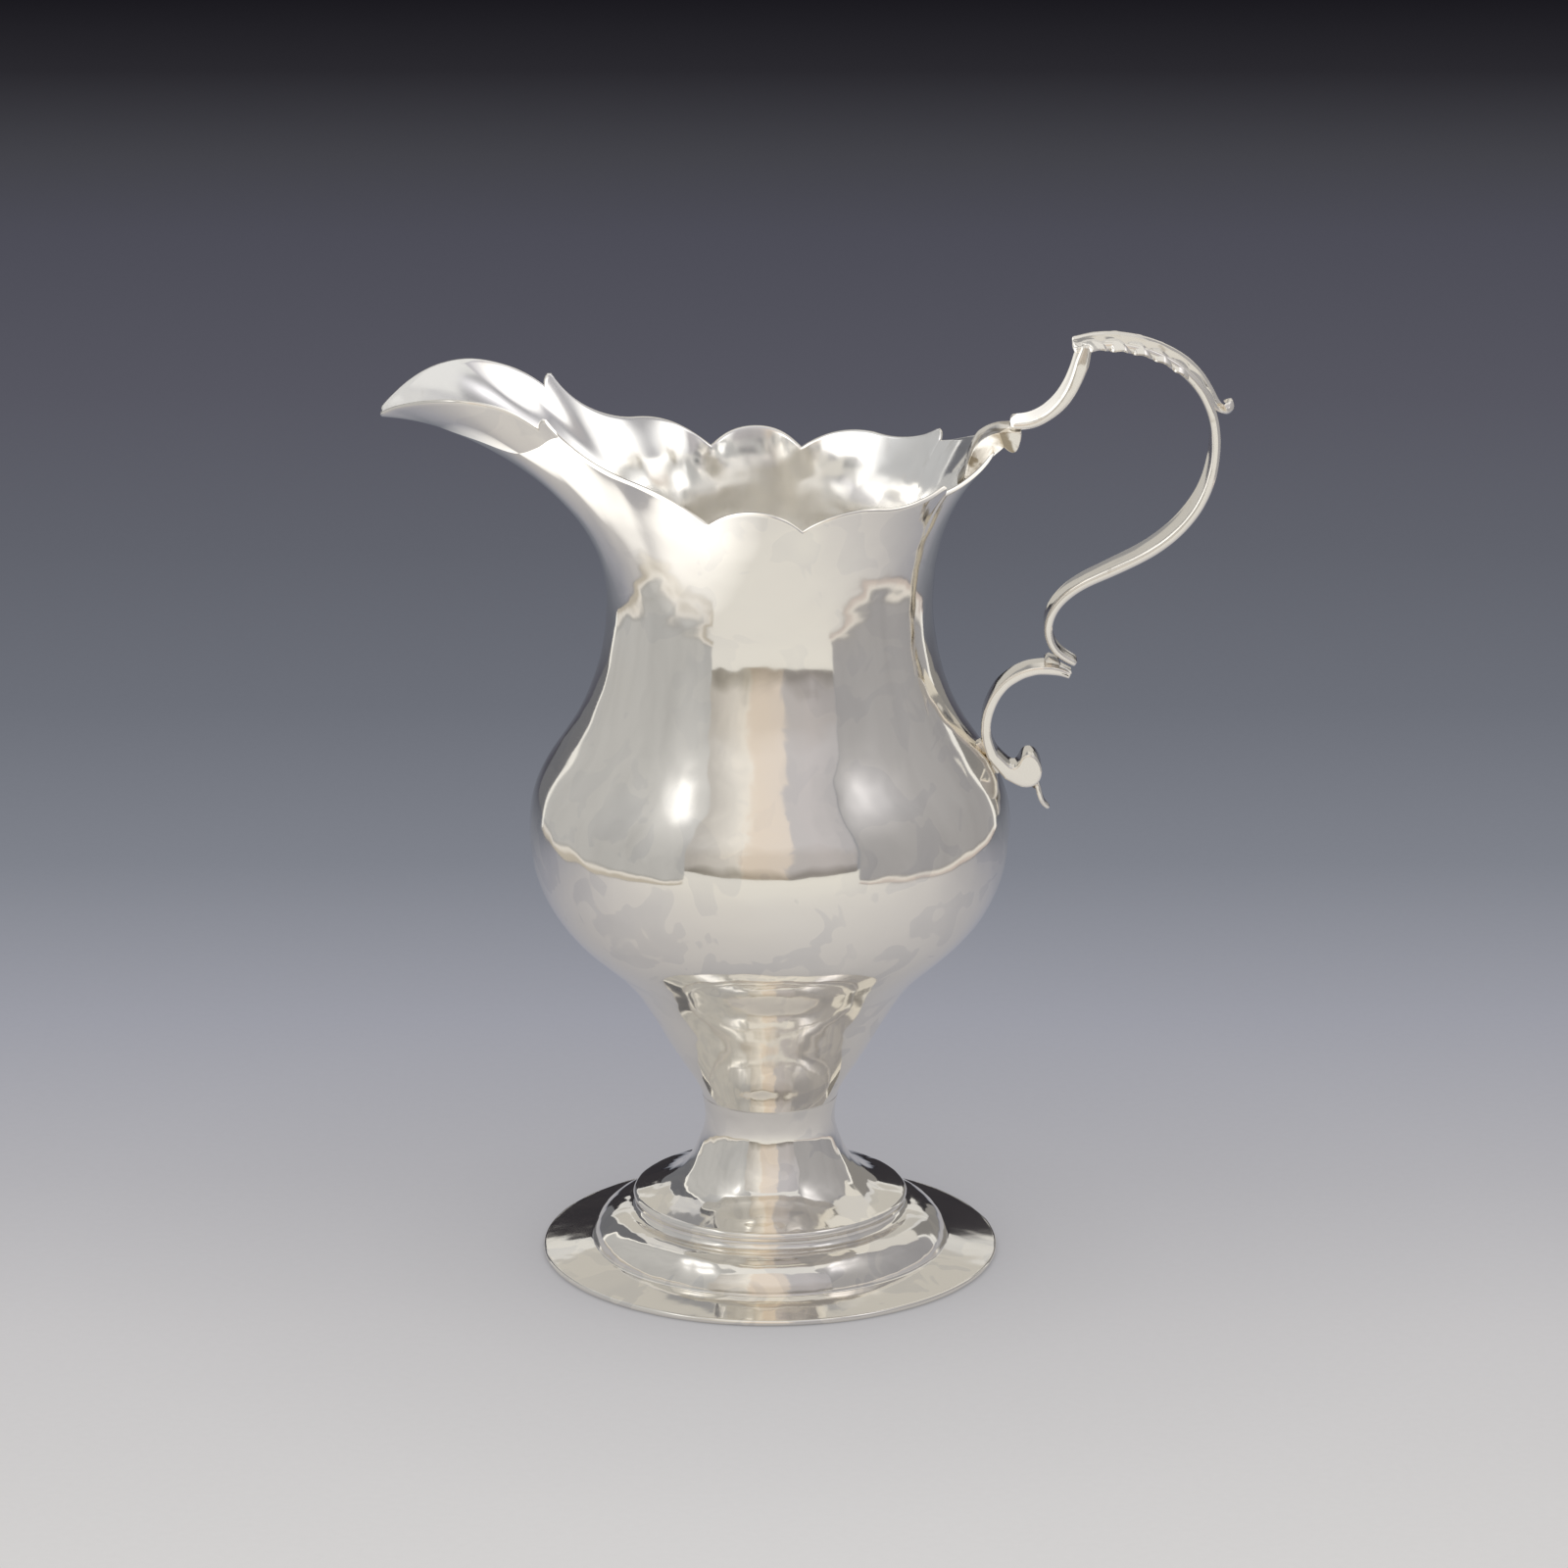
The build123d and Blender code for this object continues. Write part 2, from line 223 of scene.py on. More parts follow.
def shell_of(rings, closed_rows=False, poles=None):
    """Vertices and faces of a stack of rings, joined last to first or closed by a point at each end."""
    rows, columns = rings.shape[:2]
    vertices = rings.reshape(-1, 3)
    if not closed_rows:
        ends = poles or [rings[0].mean(axis=0), rings[-1].mean(axis=0)]
        vertices = np.concatenate([vertices, np.array(ends, float)])
    return vertices, ring_faces(rows, columns, closed_rows, not closed_rows)


def turned_rings(profile, columns):
    """Rings about the Z axis from (radius, height) points."""
    angle = np.arange(columns) * math.tau / columns
    r, z = profile[:, :1], profile[:, 1:]
    return np.stack([r * np.cos(angle), r * np.sin(angle), z + 0 * angle], axis=2)


def wobble(points, normals, layers):
    """Moves points along their normals by layers of noise: (cell size, height, kind, offset)."""
    flat, out = points.reshape(-1, 3), normals.reshape(-1, 3)
    moves = np.zeros(len(flat))
    for size, height, kind, offset in layers:
        shift = Vector((offset, offset * 1.7, -offset))
        if kind == "planish":
            values = [noise.voronoi(Vector(p) / size + shift)[0][0] ** 2 for p in flat]
        else:
            values = [noise.noise(Vector(p) / size + shift) for p in flat]
        moves += height * np.array(values)
    return (flat + out * moves[:, None]).reshape(points.shape)


# ---------------- materials
class Nodes:
    """Short forms for building one node material."""

    def __init__(self, name):
        self.material = bpy.data.materials.new(name)
        self.material.use_nodes = True
        self.tree = self.material.node_tree
        self.tree.nodes.clear()
        self.output = self.tree.nodes.new("ShaderNodeOutputMaterial")
        self.place = self.new("TexCoord").outputs["Object"]

    def new(self, kind, **values):
        node = self.tree.nodes.new("ShaderNode" + kind)
        for key, value in values.items():
            setattr(node, key, value)
        return node

    def put(self, value, socket):
        """Links a socket, or sets a plain value."""
        if isinstance(value, bpy.types.NodeSocket):
            self.tree.links.new(value, socket)
        else:
            socket.default_value = value

    def set(self, node, **inputs):
        for key, value in inputs.items():
            self.put(value, node.inputs[key.replace("_", " ")])
        return node

    def axis(self, name):
        """One of the object coordinates X, Y and Z."""
        parts = self.new("SeparateXYZ")
        self.put(self.place, parts.inputs[0])
        return parts.outputs[name]

    def distance_from(self, point):
        """Distance from a point, in metres."""
        offset = self.new("VectorMath", operation="DISTANCE")
        self.put(self.place, offset.inputs[0])
        self.put(point, offset.inputs[1])
        return offset.outputs["Value"]

    def scaled(self, vector_scale):
        """Object coordinates stretched by three factors."""
        return self.set(self.new("Mapping"), Vector=self.place, Scale=vector_scale).outputs["Vector"]

    def noise(self, cells_per_metre, detail=3.0, distortion=0.0, vector=None):
        node = self.new("TexNoise")
        self.set(node, Scale=cells_per_metre, Detail=detail, Distortion=distortion)
        self.set(node, Vector=vector or self.place)
        return node.outputs["Fac"]

    def ramp(self, value, *stops):
        node = self.new("ValToRGB")
        self.tree.links.new(value, node.inputs["Fac"])
        ramp = node.color_ramp
        while len(ramp.elements) < len(stops):
            ramp.elements.new(0.5)
        for element, (position, colour) in zip(ramp.elements, stops):
            element.position = position
            level = (colour,) * 3 if isinstance(colour, (int, float)) else colour
            element.color = (*level, 1.0)
        return node.outputs["Color"]

    def math(self, operation, a, b=0.0):
        node = self.new("Math", operation=operation)
        self.put(a, node.inputs[0])
        self.put(b, node.inputs[1])
        return node.outputs[0]

    def times(self, a, b):
        return self.math("MULTIPLY", a, b)

    def swing(self, noise, amount):
        """Noise as a swing of half the amount either way."""
        return self.times(self.math("SUBTRACT", noise, 0.5), amount)

    def mix(self, share, a, b, blend="MIX"):
        node = self.new("Mix", data_type="RGBA", blend_type=blend)
        for name, value in (("Factor_Float", share), ("A_Color", a), ("B_Color", b)):
            if isinstance(value, tuple):
                value = (*value, 1.0)
            self.put(value, next(s for s in node.inputs if s.identifier == name))
        return next(s for s in node.outputs if s.identifier == "Result_Color")

    def bump(self, height, strength, distance, normal=None):
        node = self.new("Bump")
        self.set(node, Strength=strength, Distance=distance, Height=height)
        if normal is not None:
            self.tree.links.new(normal, node.inputs["Normal"])
        return node.outputs["Normal"]

    def metal(self, colour, rough, normal=None, metallic=1.0):
        shader = self.set(self.new("BsdfPrincipled"), Base_Color=colour, Metallic=metallic, Roughness=rough)
        if normal is not None:
            self.set(shader, Normal=normal)
        return self.finish(shader)

    def finish(self, shader):
        self.tree.links.new(shader.outputs[0], self.output.inputs["Surface"])
        return self.material


def srgb(red, green, blue):
    """Linear colour from 0 to 255 display values."""
    return tuple(
        v / 12.92 if v <= 0.04045 else ((v + 0.055) / 1.055) ** 2.4
        for v in (red / 255, green / 255, blue / 255)
    )


SILVER = (0.93, 0.895, 0.83)
SILVER_DULL = (0.80, 0.78, 0.75)
SILVER_WARM = (0.90, 0.84, 0.73)


def raised_silver():
    """Hand-raised sheet: old polish, faint firestain patches with firm edges, most below the belly."""
    n = Nodes("raised_silver_polished")
    patches = n.ramp(n.noise(150, 2.0, 0.8), (0.535, 0.0), (0.555, 0.85), (0.66, 1.0))
    broad = n.ramp(n.noise(38, 3.0, 0.6), (0.32, 0.0), (0.52, 1.0))
    lower = n.ramp(n.times(n.axis("Z"), 10.0), (0.50, 0.85), (0.72, 0.40))
    stain = n.times(patches, n.times(broad, lower))
    colour = n.mix(stain, SILVER, SILVER_DULL)
    warm = n.ramp(n.noise(40, 3.0, 0.4), (0.55, 0.0), (0.80, 1.0))
    colour = n.mix(n.times(warm, 0.35), colour, SILVER_WARM)
    rough = n.ramp(n.noise(60, 4.0), (0.30, 0.05), (0.75, 0.10))
    hairlines = n.noise(900, 2.0, 0.0, n.scaled((1.0, 1.0, 0.05)))
    fine = n.noise(420, 4.0)
    normal = n.bump(hairlines, 0.05, 0.00002)
    normal = n.bump(fine, 0.10, 0.00004, normal)
    return n.metal(colour, rough, normal)


def inside_silver():
    """The inside of the body: cleaner and cooler than the outside, with faint streaks down the wall."""
    n = Nodes("inside_silver")
    streaks = n.noise(420, 3.0, 0.3, n.scaled((1.0, 1.0, 0.12)))
    warm = n.ramp(n.noise(55, 3.0, 0.5), (0.50, 0.0), (0.80, 1.0))
    colour = n.mix(n.times(warm, 0.35), (0.955, 0.945, 0.925), (0.92, 0.87, 0.78))
    grime = n.ramp(n.noise(330, 4.0, 0.8, n.scaled((1.0, 1.0, 0.35))), (0.60, 0.0), (0.80, 1.0))
    colour = n.mix(n.times(grime, 0.25), colour, (0.55, 0.51, 0.45))
    rough = n.ramp(streaks, (0.30, 0.09), (0.72, 0.18))
    normal = n.bump(streaks, 0.08, 0.00004)
    return n.metal(colour, rough, normal)


def cast_silver(name, dirt_from, dirt_share):
    """Cast work: softer polish, shallow pits, and brown dirt where the noise is above dirt_from."""
    n = Nodes(name)
    dirt = n.ramp(n.noise(330, 5.0, 0.5), (dirt_from, 0.0), (dirt_from + 0.12, 1.0))
    colour = n.mix(n.times(dirt, dirt_share), SILVER, (0.30, 0.24, 0.15))
    rough = n.ramp(n.noise(160, 4.0), (0.30, 0.08), (0.75, 0.15))
    pits = n.new("TexVoronoi")
    n.set(pits, Scale=700.0, Vector=n.place)
    pit_depth = n.ramp(pits.outputs["Distance"], (0.0, 0.0), (0.16, 1.0))
    normal = n.bump(n.noise(500, 3.0), 0.06, 0.00003)
    normal = n.bump(pit_depth, 0.04, 0.00002, normal)
    return n.metal(colour, rough, normal)


def flush_solder():
    """Solder that was filed flush: nearly silver, a little greyer and duller."""
    n = Nodes("flush_solder")
    colour = n.ramp(n.noise(300, 4.0), (0.35, (0.62, 0.59, 0.54)), (0.65, (0.86, 0.83, 0.77)))
    return n.metal(colour, 0.14)


def old_solder():
    """Grey-brown solder, duller than the silver and never quite clean."""
    n = Nodes("old_solder")
    colour = n.ramp(n.noise(420, 5.0), (0.35, (0.20, 0.17, 0.13)), (0.70, (0.62, 0.58, 0.50)))
    rough = n.ramp(n.noise(300, 3.0), (0.30, 0.22), (0.70, 0.42))
    normal = n.bump(n.noise(700, 4.0), 0.5, 0.00008)
    return n.metal(colour, rough, normal, 0.9)


RAISED = raised_silver()
INSIDE = inside_silver()
CAST = cast_silver("cast_silver", 0.66, 0.6)
DIRTY_CAST = cast_silver("cast_silver_dirty", 0.45, 0.85)
SOLDER = old_solder()
FLUSH_SOLDER = flush_solder()

# ---------------- upper wall: neck, rim and lip
# Neck angle round from the lip; rim point; lean of the wall there; rise above the neck; reach of the lean.
RIM_STATIONS = np.array([
    (0, -47.1, 0.0, 106.7, -1.00, 0.00, 0.05, 14.0, 12.0),
    (6, -45.4, 4.2, 108.6, -0.90, 0.35, 0.40, 14.0, 11.0),
    (13, -41.8, 8.2, 110.3, -0.72, 0.42, 0.60, 13.5, 10.0),
    (21, -37.2, 10.5, 111.1, -0.55, 0.38, 0.80, 13.0, 9.0),
    (30, -31.5, 10.9, 110.4, -0.45, 0.25, 0.85, 12.0, 8.0),
    (38, -25.6, 11.5, 107.6, -0.40, 0.25, 0.90, 10.0, 7.0),
    (47, -19.3, 14.2, 104.0, -0.38, 0.32, 0.90, 8.0, 6.0),
    (60, -11.5, 18.9, 101.4, -0.22, 0.35, 0.92, 6.0, 5.0),
    (90, 0.0, 20.9, 100.4, 0.00, 0.16, 0.97, 5.0, 5.0),
    (115, 8.9, 19.9, 100.2, 0.14, 0.30, 0.95, 5.0, 5.0),
    (140, 18.0, 16.0, 100.7, 0.45, 0.40, 0.80, 7.0, 6.0),
    (160, 25.0, 9.3, 102.0, 0.62, 0.22, 0.75, 8.5, 6.1),
    (180, 27.6, 0.0, 103.5, 0.66, 0.00, 0.75, 9.0, 6.1),
])
LAST_STATION = len(RIM_STATIONS) - 1
FLIP_Y = np.array([1, 1, -1, 1, 1, -1, 1, 1, 1])


def padded_stations():
    """The stations with their mirrored neighbours at both ends, for the Catmull-Rom blend."""
    before = RIM_STATIONS[1] * FLIP_Y
    before[0] *= -1
    after = [RIM_STATIONS[LAST_STATION - k] * FLIP_Y for k in (1, 2)]
    for row in after:
        row[0] = 360 - row[0]
    return np.vstack([before, RIM_STATIONS, *after])


PADDED = padded_stations()


def station_at(place):
    """Stations blended at an array of places such as 3.25."""
    place = np.asarray(place, float)
    first = np.clip(np.floor(place).astype(int), 0, LAST_STATION)
    t = (place - first)[..., None]
    p, q, r, s = (PADDED[first + k] for k in range(4))
    return 0.5 * (2 * q + (r - p) * t + (2 * p - 5 * q + 4 * r - s) * t**2 + (3 * q - p - 3 * r + s) * t**3)


def wall(place, share):
    """Outer surface of the upper wall: a Bezier curve from the neck circle up to the rim."""
    blend = station_at(place)
    angle = np.radians(blend[..., 0])
    neck = np.stack([-NECK_R * np.cos(angle), NECK_R * np.sin(angle), NECK_Z + 0 * angle], axis=-1)
    lean = unit(blend[..., 4:7])
    rim = blend[..., 1:4]
    risen = neck + np.stack([0 * angle, 0 * angle, blend[..., 7]], axis=-1)
    held = rim - lean * blend[..., 8:9]
    t = np.asarray(share, float)[..., None]
    return neck * (1 - t) ** 3 + risen * 3 * t * (1 - t) ** 2 + held * 3 * t**2 * (1 - t) + rim * t**3


RIM_PITCH = 0.45
RIM_START = (LIP_X, 107.2)
# The rim from there, seen from the side, as arcs of (middle, end): the lip, a rounded horn in two arcs, an
# ogee in two, the middle lobe, a long lobe in two, a rounded horn in two, and the back lobe.
RIM_ARCS = [
    ((-38.8, 111.0), (-27.6, 107.8)),
    ((-27.62, 108.3), (-27.45, 108.8)),
    ((-27.1, 109.1), (-26.65, 108.75)),
    ((-22.5, 104.75), (-17.2, 102.6)),
    ((-12.0, 101.1), (-7.5, 98.2)),
    ((-1.7, 100.2), (4.0, 97.7)),
    ((8.2, 99.6), (13.0, 99.9)),
    ((17.2, 99.85), (20.9, 101.3)),
    ((21.35, 101.3), (21.45, 100.95)),
    ((21.35, 100.55), (21.2, 100.25)),
    ((24.4, 101.45), (27.5, 103.4)),
]
# Where two lobes meet: side-view point, how far the wall is drawn in there, and how wide the flute is.
CUSPS = [((-7.5, 98.2), 0.5, 2.4), ((4.0, 97.7), 0.55, 2.4), ((21.3, 101.0), 0.2, 1.5)]


def solve_on_wall(x, z, guess):
    """The (place, share) at which the wall passes a side-view point, by Newton's method."""
    place, share = guess
    step = 1e-4
    for _ in range(30):
        here = wall(place, share)
        miss = np.array([here[0] - x, here[2] - z])
        if abs(miss).max() < 1e-6:
            break
        by_place = (wall(place + step, share) - here)[[0, 2]] / step
        by_share = (wall(place, share + step) - here)[[0, 2]] / step
        move = np.linalg.solve(np.array([by_place, by_share]).T, miss)
        place = np.clip(place - np.clip(move[0], -0.3, 0.3), 0, LAST_STATION)
        share = share - move[1]
    return float(place), float(share)


def share_at_x(place, x):
    """How far up the lip's wall line reaches a vertical plane, by bisection."""
    low, high = 0.5, 1.2
    for _ in range(40):
        middle = (low + high) / 2
        low, high = (middle, high) if wall(place, middle)[0] > x else (low, middle)
    return low


def rim_columns():
    """(place, share) of every wall line that ends on the rim, from the lip's tip to the back."""
    corner = solve_on_wall(*RIM_START, (0.5, 1.0))
    tip_lines = 6
    columns = []
    for k in range(tip_lines):
        place = corner[0] * k / tip_lines
        columns.append((place, share_at_x(place, LIP_X)))
    guess, first = corner, RIM_START
    for index, (middle, last) in enumerate(RIM_ARCS):
        for point in arc(first, middle, last, RIM_PITCH)[min(index, 1):]:
            guess = solve_on_wall(*point, guess)
            columns.append(guess)
        first = last
    columns[-1] = (LAST_STATION, columns[-1][1])
    return np.array(columns)


FLUTE_FOOT_Z = 93.5     # the flutes die out at this height
FLUTE_FULL_Z = 99.5     # and are at full depth from this one up
UPPER_ROWS = 60         # rings from the neck to the rim
BELLY_ROWS = 130        # rings from the seam to the neck


def belly_profile():
    """(radius, height) of the turned part of the body's outside, from the seam up to the neck."""
    points = [
        (WAIST_R - SEAM_INSET, SEAM_Z + SEAM_HALF), (10.3, 24), (13.9, 30), (18.0, 36), (24.4, 42),
        (28.2, 48), (29.45, 54.9), (28.55, 60.5), (24.05, 68), (20.6, 77), (NECK_R, NECK_Z),
    ]
    return spline(points, BELLY_ROWS, start=(0.3, 1), end=(0, 1))


def outer_rings():
    """The body's outer skin as rings, from the seam to just under the rim's bead."""
    columns = rim_columns()
    place, end = columns[:, 0], columns[:, 1]
    angle = np.radians(station_at(place)[:, 0])
    lower = belly_profile()[:-1]
    turned = np.stack(
        [-lower[:, :1] * np.cos(angle), lower[:, :1] * np.sin(angle), lower[:, 1:] + 0 * angle], axis=2
    )
    rim = wall(place, end)
    length = np.linalg.norm(rim - wall(place, end - 0.01), axis=1) / 0.01
    top = end - WALL / 2 / length
    shares = np.linspace(0, 1, UPPER_ROWS)[:, None] * top
    upper = wall(np.broadcast_to(place, shares.shape), shares)
    upper = fluted(upper, rim)
    half = np.concatenate([turned, upper])
    other = half[:, -2:0:-1] * np.array([1, -1, 1])
    return np.concatenate([half, other], axis=1)


def fluted(upper, rim):
    """Draws the wall in below each cusp of the rim, so that the lobes between them are dished."""
    inward = unit(-upper[..., :2])
    height = smoothstep(FLUTE_FOOT_Z, FLUTE_FULL_Z, upper[..., 2])
    drawn = np.zeros(upper.shape[:2])
    for (x, z), depth, width in CUSPS:
        nearest = np.argmin(np.hypot(rim[:, 0] - x, rim[:, 2] - z))
        along = np.linalg.norm(rim - rim[nearest], axis=1)
        drawn += depth * np.exp(-((along / width) ** 2)) * height
    moved = upper.copy()
    moved[..., :2] += inward * drawn[..., None]
    return moved


BODY_HAMMERING = [
    (9.0, 0.06, "soft", 3.1),
    (4.2, 0.035, "soft", 7.7),
    (2.0, 0.014, "soft", 15.9),
    (3.0, 0.028, "planish", 1.3),
]
# The bowl's inside closes with rings of these shares of the last one, which dish down to the floor.
CLOSING_SHARES = (0.965, 0.915, 0.84, 0.74, 0.60, 0.42, 0.22)
CLOSING_HEIGHT = 1.3    # the inside's rings stop this far above the floor


def body():
    """The whole raised body as one closed skin: outside, rim bead, inside."""
    outer = outer_rings()
    normals = grid_normals(outer)
    if np.sum(normals[5, :, :2] * outer[5, :, :2]) < 0:
        normals = -normals
    hammered = wobble(outer, normals, BODY_HAMMERING)
    height = outer[..., 2]
    worked = smoothstep(SEAM_Z + SEAM_HALF, SEAM_Z + 2.0, height)
    worked *= 1 - 0.7 * smoothstep(96.0, 100.0, height)
    outer = outer + (hammered - outer) * worked[..., None]
    inner = outer - normals * WALL
    rim_out, rim_in = outer[-1], inner[-1]
    upward = unit(outer[-1] - outer[-2])
    middle, half = (rim_out + rim_in) / 2, (rim_out - rim_in) / 2
    bead = [
        middle + half * math.cos(turn) + upward * math.sin(turn) * WALL / 2
        for turn in np.radians([36, 72, 108, 144])
    ]
    floor_z = SEAM_Z + SEAM_HALF + WALL
    inner = inner[::-1]
    keep = np.min(inner[..., 2], axis=1) > floor_z + CLOSING_HEIGHT
    rings = np.concatenate([outer, np.array(bead), inner[keep]])
    last = rings[-1]
    least = CLOSING_SHARES[-1]
    bottom = []
    for share in CLOSING_SHARES:
        ring = last * share
        ring[:, 2] = floor_z + (last[:, 2] - floor_z) * ((share - least) / (1 - least)) ** 3
        bottom.append(ring)
    rings = np.concatenate([rings, np.array(bottom)])
    poles = [(0, 0, SEAM_Z + SEAM_HALF), (0, 0, floor_z)]
    made = piece("raised_body", *shell_of(rings, poles=poles), RAISED, "raised", "body_shell")
    made.data.materials.append(INSIDE)
    first_inside = (len(outer) + len(bead) - 1) * rings.shape[1]
    slots = [1 if index >= first_inside else 0 for index in range(len(made.data.polygons))]
    # The pole faces come last, outside and inside in turn.
    slots[-2 * rings.shape[1]::2] = [0] * rings.shape[1]
    made.data.polygons.foreach_set("material_index", slots)
    return made


# ---------------- foot
FOOT_COLUMNS = 400
FOOT_HAMMERING = [
    (7.0, 0.07, "soft", 12.4),
    (3.0, 0.045, "soft", 5.2),
    (1.5, 0.022, "soft", 21.7),
    (2.4, 0.03, "planish", 8.8),
]


def foot_profile():
    """The closed outline of the foot's sheet: down the outside, round the flange, up the inside."""
    pitch = 0.28
    seam_z = SEAM_Z - SEAM_HALF
    top = (WAIST_R - SEAM_INSET, seam_z)
    outside = [
        spline([top, (8.05, 17.2), (8.9, 14), (10.6, 10.9), (13.0, 9.0), (16.4, 7.85)], 52),
        arc((16.4, 7.85), (17.0, 7.2), (16.6, 6.6), 0.18),
        arc((16.6, 6.6), (16.8, 5.9), (17.4, 5.6), 0.18),
        arc((17.45, 5.58), (20.6, 4.4), (22.05, 1.65), pitch),
        arc((22.1, 1.6), (25.0, 1.12), (WIRE_R, 0.75), pitch),
    ]
    underside = [
        [(WIRE_R, 0.0), (26.5, 0.0), (24.0, 0.45), (21.5, 0.9)],
        arc((21.5, 0.9), (20.1, 3.55), (17.2, 4.8), 0.5),
        arc((17.2, 4.8), (16.1, 5.5), (15.8, 6.9), 0.5),
        spline([(15.8, 6.9), (12.5, 8.4), (9.9, 10.5), (8.3, 13.8), (7.4, 17.2), (7.8, seam_z)], 20),
    ]
    points = [tuple(p) for part in outside + underside for p in part]
    kept = [points[0]]
    for point in points[1:]:
        if math.dist(point, kept[-1]) > 1e-3:
            kept.append(point)
    return np.array(kept)


def foot():
    """The foot's sheet, hammered less on its flange and not at all at the seam."""
    rings = turned_rings(foot_profile(), FOOT_COLUMNS)
    normals = grid_normals(rings, closed_rows=True)
    hammered = wobble(rings, normals, FOOT_HAMMERING)
    radius = np.hypot(rings[..., 0], rings[..., 1])
    below_seam = smoothstep(SEAM_Z - SEAM_HALF, SEAM_Z - 2.0, rings[..., 2])
    worked = below_seam * (1 - 0.72 * smoothstep(21.6, 23.0, radius))
    rings = rings + (hammered - rings) * worked[..., None]
    rings[..., 2] = np.maximum(rings[..., 2], 0.0)
    return piece("foot", *shell_of(rings, True), RAISED, "raised", "foot")


def rim_wire():
    """The applied wire round the flange, with the small dents of two centuries."""
    turns = np.radians(np.arange(0, 360, 30))
    half = WIRE_D / 2
    section = np.stack([WIRE_R + half * np.cos(turns), half + half * np.sin(turns)], axis=1)
    rings = turned_rings(section, FOOT_COLUMNS)
    rings = wobble(rings, grid_normals(rings, closed_rows=True), [(4.0, 0.05, "soft", 2.2)])
    radius = np.hypot(rings[..., 0], rings[..., 1])
    limit = WIRE_R + half
    rings[..., :2] *= np.minimum(1, limit / radius)[..., None]
    rings[..., 2] = np.clip(rings[..., 2], 0, WIRE_D)
    return piece("foot_rim_wire", *shell_of(rings, True), RAISED, "raised", "foot_rim_wire")


def waist_seam():
    """The thin line of solder between the body and its foot, filed flush and polished over."""
    low, high, inside = SEAM_Z - 0.14, SEAM_Z + 0.14, WAIST_R - 0.7
    face = [(WAIST_R - SEAM_INSET, z) for z in np.linspace(SEAM_Z - 0.098, SEAM_Z + 0.098, 5)]
    section = np.array([(inside, low), (WAIST_R - 0.2, low), *face, (WAIST_R - 0.2, high), (inside, high)])
    rings = turned_rings(section, FOOT_COLUMNS)
    return piece("waist_seam", *shell_of(rings, True), FLUSH_SOLDER, "solder", "waist_solder")


body()
foot()
rim_wire()
waist_seam()


# ---------------- handle
def stations_at(stations, shares):
    """Columns of values at shares of a strap's length, blended between stations of (share, values...)."""
    table = np.array(stations, float)
    return np.stack([np.interp(shares, table[:, 0], table[:, k]) for k in range(1, table.shape[1])], axis=1)


def strap_section(width, thickness, dish):
    """Cross-section of a cast strap: crisp rounded corners, and a shallow hollow along both broad faces."""
    radius = min(0.42 * thickness, 0.46)
    half_w, half_t = width / 2 - radius, thickness / 2 - radius
    broad = np.linspace(-1, 1, 13)
    hollow = dish * (1 - np.abs(broad) ** 4)
    corner = np.radians([9, 27, 45, 63, 81])
    side = np.array([-0.8, 0.0, 0.8])
    low = [(half_w * s, -thickness / 2 + d) for s, d in zip(broad, hollow)]
    low_right = [(half_w + radius * math.sin(a), -half_t - radius * math.cos(a)) for a in corner]
    right = [(width / 2, half_t * s) for s in side]
    high_right = [(half_w + radius * math.cos(a), half_t + radius * math.sin(a)) for a in corner]
    quarter = low_right + right + high_right
    high = [(half_w * s, thickness / 2 - d) for s, d in zip(broad[::-1], hollow)]
    other = [(-across, up) for across, up in quarter[::-1]]
    return np.array(low + quarter + high + other)


def swept(line, sections):
    """Rings of (across, up) sections along a line in the XZ plane. Up is to the left of the line's run."""
    rings = np.zeros((len(line), len(sections[0]), 3))
    for ring, spot, normal, section in zip(rings, line, left_of(line), sections):
        ring[:, 0] = spot[0] + normal[0] * section[:, 1]
        ring[:, 1] = section[:, 0]
        ring[:, 2] = spot[1] + normal[1] * section[:, 1]
    return rings


def rounded_ends(line, sections, reach=0.35):
    """Closes a sweep softly: the first and last sections again, smaller and a little farther out."""
    for end, inner in ((0, 1), (-1, -2)):
        run = unit(line[end] - line[inner])
        extra_lines, extra_sections = [], []
        for share in (0.45, 0.8, 1.0):
            extra_lines.append(line[end] + run * reach * share)
            extra_sections.append(sections[end] * math.sqrt(max(1 - share**2, 0.02)))
        if end == 0:
            line = np.vstack([extra_lines[::-1], line])
            sections = extra_sections[::-1] + list(sections)
        else:
            line = np.vstack([line, extra_lines])
            sections = list(sections) + extra_sections
    return line, sections


CAST_WAVES = [(2.6, 0.04, "soft", 3.3), (1.1, 0.008, "soft", 9.1)]


def strap_rings(points, stations, count, layers=CAST_WAVES):
    """A cast strap along (x, z) points, from stations of (share, width, thickness, dish)."""
    line = spline(points, count)
    rows = stations_at(stations, np.linspace(0, 1, count))
    line, sections = rounded_ends(line, [strap_section(*row) for row in rows])
    rings = swept(line, sections)
    normals = grid_normals(rings)
    middle = rings.mean(axis=1, keepdims=True)
    if np.sum(normals[count // 2] * (rings - middle)[count // 2]) < 0:
        normals = -normals
    return wobble(rings, normals, layers)


